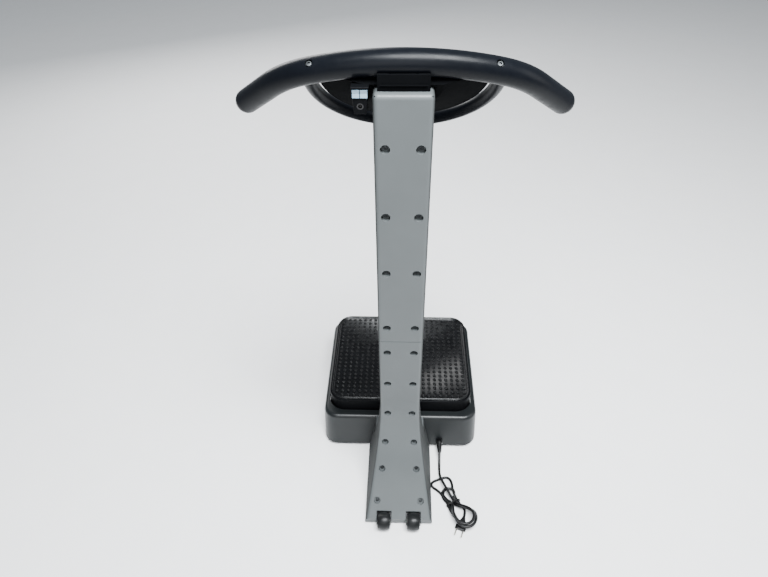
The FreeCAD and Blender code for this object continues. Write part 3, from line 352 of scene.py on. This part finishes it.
# The camera: its place, its angles in degrees, and its lens on a 36 mm wide sensor
CAMERA_AT = (0.00076, -1.0699, 1.5464)
CAMERA_DOWN = 42.11
CAMERA_YAW = 2.38
CAMERA_ROLL = -0.879
CAMERA_LENS = 26.9798
FLOOR_HALF = 6.0
# Name, place, where it points, size, power and colour of each lamp
LAMPS = [
    ("over", (0.4, -0.9, 3.0), (0, 0, 0.4), (1.5, 1.0), 320, (0.94, 0.975, 1.0)),
    ("behind", (-0.2, -3.1, 1.9), (0, 0, 0.6), (2.4, 1.8), 45, (1, 1, 1)),
    ("right", (2.6, -0.4, 1.7), (0, 0, 0.3), (1.2, 1.6), 22, (1, 1, 1)),
    ("front", (-1.3, 2.8, 2.0), (0, 0, 0.7), (2.0, 1.6), 80, (1, 1, 1)),
]
WORLD_COLOUR = (0.86, 0.93, 1.0)
WORLD_STRENGTH = 0.35


def add_camera():
    tilt = math.radians(CAMERA_DOWN)
    yaw = math.radians(CAMERA_YAW)
    roll = math.radians(CAMERA_ROLL)
    ahead = Vector((-math.sin(yaw), math.cos(yaw), 0))
    side = Vector((math.cos(yaw), math.sin(yaw), 0))
    up = Vector((0, 0, 1))
    look = ahead * math.cos(tilt) - up * math.sin(tilt)
    over = ahead * math.sin(tilt) + up * math.cos(tilt)
    right = side * math.cos(roll) + over * math.sin(roll)
    top = over * math.cos(roll) - side * math.sin(roll)
    data = bpy.data.cameras.new("camera")
    data.sensor_width = 36
    data.lens = CAMERA_LENS
    data.clip_start = 0.02
    camera = bpy.data.objects.new("camera", data)
    bpy.context.scene.collection.objects.link(camera)
    turn = Matrix((right, top, -look)).transposed().to_4x4()
    camera.matrix_world = Matrix.Translation(CAMERA_AT) @ turn
    bpy.context.scene.camera = camera


def add_floor():
    half = FLOOR_HALF
    verts = [(-half, -half, 0), (half, -half, 0), (half, half, 0), (-half, half, 0)]
    floor = collect("floor", verts, [(0, 1, 2, 3)], smooth=False)
    mat = surface("floor_pale", (0.9, 0.9, 0.9), 0.8, grain=60, grain_deep=0.00002, mottle=0.01)
    floor.data.materials.append(mat)


def add_light(name, place_at, aim, size, power, colour):
    data = bpy.data.lights.new(name, "AREA")
    data.shape = "RECTANGLE"
    data.size = size[0]
    data.size_y = size[1]
    data.energy = power
    data.color = colour
    lamp = bpy.data.objects.new(name, data)
    bpy.context.scene.collection.objects.link(lamp)
    lamp.location = place_at
    away = Vector(place_at) - Vector(aim)
    lamp.rotation_euler = away.to_track_quat("Z", "Y").to_euler()


def add_lights():
    world = bpy.data.worlds.new("studio")
    world.use_nodes = True
    back = world.node_tree.nodes["Background"]
    back.inputs["Color"].default_value = (*WORLD_COLOUR, 1)
    back.inputs["Strength"].default_value = WORLD_STRENGTH
    bpy.context.scene.world = world
    for lamp in LAMPS:
        add_light(*lamp)


# ---------------------------------------------------------------- mains cord

def hank_point(s, t, z):
    """A place on the hank in mm: along it from the lead, across it, and above the floor."""
    along = (HANK_TO - HANK_FROM).normalized()
    across = Vector((-along.y, along.x, 0))
    spot = HANK_FROM + along * s * MM + across * t * MM
    return (spot.x, spot.y, z * MM)


# One row for each turn, in mm: where it passes the tied waist out and back, its height there
# and at the far end, the far end's reach, half width and lean, then the near end's half width,
# reach and height. The last row has no near end.
HANK_TURNS = [
    (3.8, -3.8, 11.9, 32.4, 124, 26, 5, 18, 1, 11.6),
    (0.0, -7.6, 4.1, 25.0, 131, 28, 7, 20, -4, 4.0),
    (7.6, -15.2, 4.1, 17.6, 127, 29, 11, 0, 0, 4.0),
]
ON_FLOOR = 4.0
# The wide turn that lies on the floor under the lead, as (along, across) in mm
FLOOR_TURN = [
    (24, -15), (4, -17), (-11, -23), (-21, -29.5), (-30.5, -31), (-37, -24.5), (-38, -13),
    (-37, 0), (-36.5, 13), (-33, 23), (-24, 28), (-11, 26.5), (3, 21), (22, 16.5),
]
# Where the cord comes out of the waist again and bends round to the plug
LAST_BEND = [(44, 15.2, 4.1), (60, 18.5, 4.2), (73, 21.0, 4.8), (84, 15.5, 6.2)]
# The tie: its two edges along the hank, its middle height, half height, half width, thickness
TIE_EDGES = (43.2, 46.8)
TIE_MIDDLE = 8.6
TIE_HALF_TALL = 8.2
TIE_HALF_WIDE = 20.2
TIE_THICK = 1.1
# The plug's body, as (along, half width, half height) in mm
PLUG_RINGS = [
    (0.0, 14.2, 5.6), (-2.0, 15.0, 6.2), (-9.0, 14.8, 6.2), (-13.0, 12.6, 5.9),
    (-15.0, 12.9, 6.1), (-17.0, 11.8, 5.8), (-19.0, 12.1, 6.0), (-21.0, 11.0, 5.7),
    (-23.0, 11.2, 5.9), (-27.0, 8.6, 5.4), (-32.0, 5.8, 5.0), (-37.0, 4.9, 4.6),
]
# The sleeve where the cord leaves the base: start, direction, collar, and its grip rings
SLEEVE_START = Vector((0.120, -0.072, 0.028))
SLEEVE_AXIS = Vector((0, -1, -0.07))
SLEEVE_COLLAR = [(0.0, 0.0078), (0.0115, 0.0078), (0.012, 0.0105), (0.014, 0.0108), (0.0145, 0.0098)]
SLEEVE_END = [(0.0435, 0.0053), (0.0445, 0.0046), (0.0445, 0.0039)]
SLEEVE_RINGS = 7


def half_turn(middle_s, middle_t, half, z, start, end, count):
    """Points round an end of the hank, from one angle to the other, in degrees."""
    made = []
    for k in range(count):
        a = math.radians(start + (end - start) * k / (count - 1))
        made.append(hank_point(middle_s + half * math.cos(a), middle_t + half * math.sin(a), z))
    return made


def hank_route():
    """The folded part: three turns that fan out at both ends of a tied waist, then the plug."""
    points = []
    for turn in HANK_TURNS:
        out, back, low, high, reach, half, lean, near_half, near_reach, near_z = turn
        rising = low + (high - low) * 0.35
        risen = low + (high - low) * 0.85
        points.append(hank_point(44, out, low))
        points.append(hank_point(60, out * 0.7 + half * 0.25, rising))
        points.append(hank_point(78, half * 0.72 + lean * 0.6, risen))
        points += half_turn(reach - half, lean, half, high, 100, -100, 7)
        points.append(hank_point(78, lean * 0.3 - half * 0.78, risen))
        points.append(hank_point(60, back * 0.7 - half * 0.25, rising))
        points.append(hank_point(44, back, low))
        if near_half:
            points.append(hank_point(31, back - near_half * 0.5, (low + near_z) / 2))
            points += half_turn(near_reach + near_half, 2, near_half, near_z, 258, 102, 6)
            points.append(hank_point(31, near_half * 0.65, (near_z + 4.1) / 2))
    points += [hank_point(s, t, ON_FLOOR) for s, t in FLOOR_TURN]
    points += [hank_point(*spot) for spot in LAST_BEND]
    end = PLUG_FACE - PLUG_AIM * (PLUG_LONG - 0.004)
    points.append(tuple(end - PLUG_AIM * 0.008))
    points.append(tuple(end))
    return points


def build_cord(materials):
    """The whole cord on one spline, from the base to the plug."""
    points = CORD_ROUTE + hank_route()
    cord = round_curve("mains_cord", points, CORD_DIAMETER / 2)
    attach(cord, MAIN)
    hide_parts("power_cord", "cord_hank")
    return wear(cord, "cord_black", materials)


def build_tie(materials):
    """A flat tie pulled round the hank's waist, with its twisted ends."""
    verts = []
    faces = []
    steps = 40
    for k in range(steps):
        across, up = squared(2 * math.pi * k / steps, 0.6, 0.6)
        for grow in (0.0, TIE_THICK):
            lowest = 0.1 + 0.2 * (TIE_THICK - grow)
            height = max(TIE_MIDDLE + (TIE_HALF_TALL + grow) * up, lowest)
            for s in TIE_EDGES:
                verts.append(hank_point(s, (TIE_HALF_WIDE + grow) * across, height))
    for k in range(steps):
        a = 4 * k
        b = 4 * ((k + 1) % steps)
        faces += [(a, b, b + 1, a + 1), (a + 2, a + 3, b + 3, b + 2)]
        faces += [(a, a + 2, b + 2, b), (a + 1, b + 1, b + 3, a + 3)]
    band = outward(collect("tie_band", verts, faces))
    twist = []
    for k in range(14):
        a = k * 1.3
        twist.append(hank_point(45 + 1.3 * math.cos(a), 1 + k * 0.8, 19.4 + 1.3 * math.sin(a)))
    tail = round_curve("tie_tail", twist, 0.0009, 3)
    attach(band, MAIN)
    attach(tail, MAIN)
    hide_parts("cord_ties")
    wear(band, "tie_black", materials)
    wear(tail, "tie_black", materials)
    return [band, tail]


def build_plug(materials):
    """A flat plug: a waisted body with grip ribs, narrowing to its cord."""
    side = Vector((-PLUG_AIM.y, PLUG_AIM.x, 0))
    up = Vector((0, 0, 1))
    verts = []
    faces = []
    steps = 32
    for along, half_wide, half_tall in PLUG_RINGS:
        spot = PLUG_FACE + PLUG_AIM * along * MM
        for k in range(steps):
            wide, tall = squared(2 * math.pi * k / steps, 0.55, 0.7)
            verts.append(spot + side * half_wide * wide * MM + up * half_tall * tall * MM)
    bridge(faces, len(PLUG_RINGS), steps)
    cap(faces, 0, steps)
    cap(faces, (len(PLUG_RINGS) - 1) * steps, steps)
    plug = outward(collect("plug_body", verts, faces))
    finish_edges(plug, 0.0008, 3, 50)
    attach(plug, MAIN)
    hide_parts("plug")
    return wear(plug, "cord_black", materials)


def build_strain_relief(materials):
    """A moulded sleeve with a collar and a ladder of grip rings."""
    profile = list(SLEEVE_COLLAR)
    for k in range(SLEEVE_RINGS):
        along = 0.0155 + k * 0.0038
        radius = 0.0084 - k * 0.00038
        profile += [
            (along, radius - 0.0011),
            (along + 0.0005, radius),
            (along + 0.0024, radius - 0.0001),
            (along + 0.0029, radius - 0.0011),
        ]
    profile += SLEEVE_END
    sleeve = lathe("strain_sleeve", profile, SLEEVE_START, SLEEVE_AXIS, 40)
    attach(sleeve, MAIN)
    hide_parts("strain_relief")
    return wear(sleeve, "cord_black", materials)


def cord_and_fittings(materials):
    cord = build_cord(materials)
    pieces = build_tie(materials)
    pieces.append(build_plug(materials))
    pieces.append(NODES["plug_pins"])
    sleeve = build_strain_relief(materials)
    pieces.append(sleeve)


# ---------------------------------------------------------------- screws

def separate_bodies(name):
    """The loose bodies in a CAD node, each as its points and its faces' (normal, area)."""
    work = bmesh.new()
    work.from_mesh(NODES[name].data)
    work.transform(NODES[name].matrix_world)
    bmesh.ops.remove_doubles(work, verts=work.verts, dist=0.00001)
    work.verts.ensure_lookup_table()
    seen = set()
    bodies = []
    for first in work.verts:
        if first.index in seen:
            continue
        seen.add(first.index)
        group = [first]
        for vert in group:
            for edge in vert.link_edges:
                other = edge.other_vert(vert)
                if other.index not in seen:
                    seen.add(other.index)
                    group.append(other)
        faces = {face.index: face for vert in group for face in vert.link_faces}
        sides = [(face.normal.copy(), face.calc_area()) for face in faces.values()]
        bodies.append(([vert.co.copy() for vert in group], sides))
    work.free()
    return bodies


def screw_seats(name, hint):
    """Where each screw of a CAD node has its head: top centre, outward direction, radius."""
    seats = []
    for points, sides in separate_bodies(name):
        totals = {}
        for normal, area in sides:
            if normal.dot(hint) > 0.6:
                key = tuple(round(c, 2) for c in normal)
                totals[key] = totals.get(key, 0) + area
        out = Vector(max(totals, key=totals.get)).normalized()
        top = max(point.dot(out) for point in points)
        rim = [point for point in points if point.dot(out) > top - 0.0003]
        centre = sum(rim, Vector()) / len(rim)
        seats.append((centre, out, max((point - centre).length for point in rim)))
    return seats


def cross_recess(x, y):
    """How deep a cross-shaped recess is at a place on the head, in metres."""
    near, far = sorted((abs(x), abs(y)))
    return 0.0017 if near < 0.00055 and far < 0.0027 else 0.0


def hex_recess(x, y):
    """How deep a hexagon recess is at a place on the head, in metres."""
    flats = (0, math.pi / 3, 2 * math.pi / 3)
    across = max(abs(x * math.cos(a) + y * math.sin(a)) for a in flats)
    return 0.003 if across < 0.0023 else 0.0


# A screw from its shank's end to the middle of its head, as (share of the radius, depth in mm)
SCREW_SHAPE = [
    (0.0, 12), (0.38, 11.8), (0.43, 11.0), (0.43, 3.1), (0.99, 3.0), (1.0, 2.7), (1.0, 1.2),
    (0.97, 0.8), (0.9, 0.45), (0.78, 0.22), (0.66, 0.1), (0.6, 0.07), (0.54, 0.05),
    (0.47, 0.03), (0.4, 0.02), (0.32, 0.01), (0.24, 0.0), (0.16, 0.0), (0.08, 0.0), (0.0, 0.0),
]
# The first ring of the shape that a recess may sink
RECESS_FROM = 9


def build_screws(name, made_name, hint, recess, slot, materials):
    """Turned screws with a recess, in the seats of a CAD node's screws."""
    steps = 48
    verts = []
    faces = []
    for centre, out, radius in screw_seats(name, Vector(hint).normalized()):
        side = out.orthogonal().normalized()
        other = out.cross(side)
        base = len(verts)
        for ring, (share, deep) in enumerate(SCREW_SHAPE):
            for k in range(steps):
                a = 2 * math.pi * k / steps
                x = share * radius * math.cos(a)
                y = share * radius * math.sin(a)
                cut = recess(x, y) if ring >= RECESS_FROM else 0.0
                verts.append(centre + side * x + other * y - out * (deep * MM + cut))
        bridge(faces, len(SCREW_SHAPE), steps, base)
    screws = collect(made_name, verts, faces, smooth=False)
    work = bmesh.new()
    work.from_mesh(screws.data)
    bmesh.ops.remove_doubles(work, verts=work.verts, dist=0.000002)
    bmesh.ops.recalc_face_normals(work, faces=work.faces)
    work.to_mesh(screws.data)
    work.free()
    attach(screws, MAIN)
    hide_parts(name)
    return wear(screws, slot, materials)


# ---------------------------------------------------------------- console face

# Heights over the handlebar's plane of the console's face, the lens and a key's lowest place
FACE_HIGH = 0.013
LENS_HIGH = 0.0132
KEY_DISH = 0.0139
LENS_HALF = (0.052, 0.023)
MARK_TOP = LENS_HIGH + 0.00012
# The seven bars of a digit, as (across, up, lying flat), and which of them each digit lights
BARS = {
    "a": (0, 1, True), "b": (0.5, 0.5, False), "c": (0.5, -0.5, False), "d": (0, -1, True),
    "e": (-0.5, -0.5, False), "f": (-0.5, 0.5, False), "g": (0, 0, True),
}
DIGITS = {"0": "abcdef", "1": "bc", "8": "abcdefg"}
# The display's numbers: text, start from the middle, and half a digit's width and height, in mm
DIGIT_GROUPS = [("10", -34, 3.4, 6.4), ("00", -12, 3.4, 6.4), ("08", 20, 4.4, 8.4)]
DIGIT_GAP = 2.8
LEVEL_BARS = 10
# The sign on each key as outlines in mm, and the body that each key moves with
LEVEL_SIGN = [(-3.2, -0.6), (3.2, -0.6), (3.2, 0.6), (-3.2, 0.6)]
UPPER_SIGN = [(-0.6, -3.2), (0.6, -3.2), (0.6, -0.6), (-0.6, -0.6)]
LOWER_SIGN = [(-0.6, 0.6), (0.6, 0.6), (0.6, 3.2), (-0.6, 3.2)]
KEYS = {
    "key_start": ("start_key", [[(2.2, -3), (2.2, 3), (-3.2, 0)]]),
    "key_stop": ("stop_key", [[(-2.4, -2.4), (2.4, -2.4), (2.4, 2.4), (-2.4, 2.4)]]),
    "key_speed_up": ("speed_up_key", [LEVEL_SIGN, UPPER_SIGN, LOWER_SIGN]),
    "key_speed_down": ("speed_down_key", [LEVEL_SIGN]),
}
# The bezel's section as (outwards, above the face) in mm, and a key ring's as (height, radius)
BEZEL_SECTION = [(0.3, -0.2), (0.3, 0.7), (0.7, 1.1), (2.9, 1.0), (3.7, 0.5), (3.9, -0.2)]
KEY_RING_SECTION = [
    (-0.0002, 0.0086), (0.0005, 0.0086), (0.0008, 0.0090),
    (0.0008, 0.0101), (0.0005, 0.0106), (-0.0002, 0.0107),
]


def on_plane(name):
    """The middle of a CAD node, as (across, down, out) on the handlebar's plane."""
    lo, hi = (Vector(c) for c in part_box(name))
    return PLANE.inverted() @ ((lo + hi) / 2)


def add_plate(verts, faces, outline, low, high):
    """A thin plate with a flat outline; heights may be numbers or depend on the place."""
    base = len(verts)
    count = len(outline)
    for level in (low, high):
        for u, v in outline:
            w = level(u, v) if callable(level) else level
            verts.append(PLANE @ Vector((u, v, w)))
    for k in range(count):
        n = (k + 1) % count
        faces.append((base + k, base + n, base + count + n, base + count + k))
    faces.append(tuple(base + k for k in range(count))[::-1])
    faces.append(tuple(base + count + k for k in range(count)))


def bar_outline(u, v, half_long, half_thick, flat):
    """A display bar with pointed ends; the user sees +u on the left and +v below."""
    tip = half_long + half_thick
    shape = [
        (-tip, 0), (-half_long, half_thick), (half_long, half_thick),
        (tip, 0), (half_long, -half_thick), (-half_long, -half_thick),
    ]
    return [(u + a, v + b) if flat else (u + b, v + a) for a, b in shape]


def build_display(materials):
    """Generic digits, a colon and a row of level bars on the display."""
    middle = on_plane("display_lens")
    verts = []
    faces = []
    for text, start, half_wide, half_tall in DIGIT_GROUPS:
        for index, digit in enumerate(text):
            place = start + index * (half_wide * 2 + DIGIT_GAP)
            for bar in DIGITS[digit]:
                across, up, flat = BARS[bar]
                u = middle.x - (place + across * 2 * half_wide) * MM
                v = middle.y - up * half_tall * MM
                half = (half_wide if flat else half_tall / 2) - 1.1
                outline = bar_outline(u, v, half * MM, 0.7 * MM, flat)
                add_plate(verts, faces, outline, LENS_HIGH, MARK_TOP)
    for up in (-2.6, 2.6):
        dot = bar_outline(middle.x + 20.2 * MM, middle.y + up * MM, 0.3 * MM, 0.6 * MM, True)
        add_plate(verts, faces, dot, LENS_HIGH, MARK_TOP)
    for level in range(LEVEL_BARS):
        u = middle.x + (34 - level * 5.2) * MM
        v = middle.y + (17.5 - level * 0.35) * MM
        bar = bar_outline(u, v, (0.9 + level * 0.35) * MM, 1.3 * MM, False)
        add_plate(verts, faces, bar, LENS_HIGH, MARK_TOP)
    marks = outward(collect("display_marks", verts, faces, smooth=False))
    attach(marks, MAIN)
    wear(marks, "display_mark", materials)


def build_bezel(materials):
    """A raised rounded frame round the display."""
    middle = on_plane("display_lens")
    verts = []
    steps = 8
    for grow, rise in BEZEL_SECTION:
        corner = (2.0 + grow) * MM
        for side_u, side_v, start in ((1, 1, 0), (-1, 1, 90), (-1, -1, 180), (1, -1, 270)):
            for k in range(steps + 1):
                a = math.radians(start + 90 * k / steps)
                u = middle.x + side_u * (LENS_HALF[0] - 0.002) + corner * math.cos(a)
                v = middle.y + side_v * (LENS_HALF[1] - 0.002) + corner * math.sin(a)
                verts.append(PLANE @ Vector((u, v, FACE_HIGH + rise * MM)))
    count = 4 * (steps + 1)
    faces = []
    bridge(faces, len(BEZEL_SECTION), count)
    last = (len(BEZEL_SECTION) - 1) * count
    for k in range(count):
        n = (k + 1) % count
        faces.append((last + k, last + n, n, k))
    bezel = outward(collect("display_bezel", verts, faces))
    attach(bezel, MAIN)
    wear(bezel, "console_face", materials)


def build_keys(materials):
    """A printed sign on each key, and a raised ring on the console round it."""
    ahead = PLANE.to_3x3() @ Vector((0, 0, 1))
    for name, (body, outlines) in KEYS.items():
        middle = on_plane(name)

        def dish(u, v, lift=0.00006):
            return KEY_DISH + ((u - middle.x) ** 2 + (v - middle.y) ** 2) / 0.06 + lift

        def under(u, v):
            return dish(u, v, -0.00012)

        verts = []
        faces = []
        for outline in outlines:
            placed = [(middle.x + across * MM, middle.y + down * MM) for across, down in outline]
            add_plate(verts, faces, placed, under, dish)
        sign = outward(collect(name + "_sign", verts, faces, smooth=False))
        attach(sign, body)
        wear(sign, "key_print", materials)
        start = PLANE @ Vector((middle.x, middle.y, FACE_HIGH))
        ring = lathe(name + "_ring", KEY_RING_SECTION, start, ahead, 48, caps=False)
        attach(ring, MAIN)
        wear(ring, "key_grey", materials)


# ---------------------------------------------------------------- platform mat

NUB_PITCH_X = 0.0173
NUB_PITCH_Y = 0.0157
NUB_MARGIN = 0.0138
# A nub from its foot to the middle of its hollow top, as (radius, height) in mm
NUB_RINGS = [
    (4.9, 0.0), (4.7, 1.2), (4.3, 2.0), (3.7, 2.3), (3.1, 2.2), (2.7, 1.5), (2.3, 0.8), (1.2, 0.6),
]
MAT_CORNER = 0.0412
MAT_RIM = 0.026
GROUND_DEEP = 0.0025


def rounded_outline(lo, hi, corner, inset, z, steps=10):
    """A rectangle with round corners, drawn in from its edge by the inset."""
    points = []
    centres = [
        (hi.x - corner, hi.y - corner, 0),
        (lo.x + corner, hi.y - corner, 90),
        (lo.x + corner, lo.y + corner, 180),
        (hi.x - corner, lo.y + corner, 270),
    ]
    for cx, cy, start in centres:
        for k in range(steps + 1):
            a = math.radians(start + 90 * k / steps)
            reach = corner - inset
            points.append(Vector((cx + reach * math.cos(a), cy + reach * math.sin(a), z)))
    return points


def inside_corner(x, y, lo, hi, margin):
    """True where a nub fits clear of the mat's rounded outline."""
    dx = max(abs(x - (lo.x + hi.x) / 2) - (hi.x - lo.x) / 2 + MAT_CORNER, 0)
    dy = max(abs(y - (lo.y + hi.y) / 2) - (hi.y - lo.y) / 2 + MAT_CORNER, 0)
    return math.hypot(dx, dy) < MAT_CORNER - margin


def build_mat(materials):
    """The rubber mat: a rim, a low bead inside it, and rows of hollow nubs."""
    lo, hi = (Vector(c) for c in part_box("platform_mat"))
    ground = hi.z - GROUND_DEEP
    verts = []
    faces = []
    bands = [
        (0.0, lo.z), (0.0, hi.z - 0.0008), (0.0008, hi.z), (0.0024, hi.z), (0.0034, ground),
        (0.0058, ground), (0.0064, ground + 0.0014), (0.0074, ground + 0.0014), (0.0080, ground),
    ]
    for inset, z in bands:
        verts += rounded_outline(lo, hi, MAT_CORNER, inset, z)
    count = len(verts) // len(bands)
    bridge(faces, len(bands), count)
    faces.append(tuple(range(count))[::-1])
    cap(faces, (len(bands) - 1) * count, count)
    steps = 20
    across = int((hi.x - lo.x - MAT_RIM) / NUB_PITCH_X) + 1
    along = int((hi.y - lo.y - MAT_RIM) / NUB_PITCH_Y) + 1
    for i in range(across):
        for j in range(along):
            x = (lo.x + hi.x) / 2 + (i - (across - 1) / 2) * NUB_PITCH_X
            y = (lo.y + hi.y) / 2 + (j - (along - 1) / 2) * NUB_PITCH_Y
            if not inside_corner(x, y, lo, hi, NUB_MARGIN):
                continue
            base = len(verts)
            for radius, rise in NUB_RINGS:
                for k in range(steps):
                    a = 2 * math.pi * k / steps
                    verts.append(Vector((
                        x + radius * MM * math.cos(a),
                        y + radius * MM * math.sin(a),
                        ground - 0.00005 + rise * MM,
                    )))
            bridge(faces, len(NUB_RINGS), steps, base)
            cap(faces, base + (len(NUB_RINGS) - 1) * steps, steps)
    mat = collect("studded_mat", verts, faces)
    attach(mat, "platform")
    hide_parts("platform_mat")
    return wear(mat, "black_rubber", materials)


# ---------------------------------------------------------------- put it together

add_camera()
add_floor()
add_lights()
MATERIALS = make_materials()
dress_nodes(MATERIALS)
cord_and_fittings(MATERIALS)
build_mat(MATERIALS)
# The screw heads take the dark finish, which also carries the pockets' painted shade
build_screws("cover_screws", "cover_screw_heads", (0, -1, 0), cross_recess, "dark_zinc_and_pocket_shade", MATERIALS)
build_screws(
    "handlebar_screws", "handlebar_screw_heads", (0, -0.64, 0.77), hex_recess, "dark_zinc_and_pocket_shade",
    MATERIALS,
)
build_display(MATERIALS)
build_bezel(MATERIALS)
build_keys(MATERIALS)
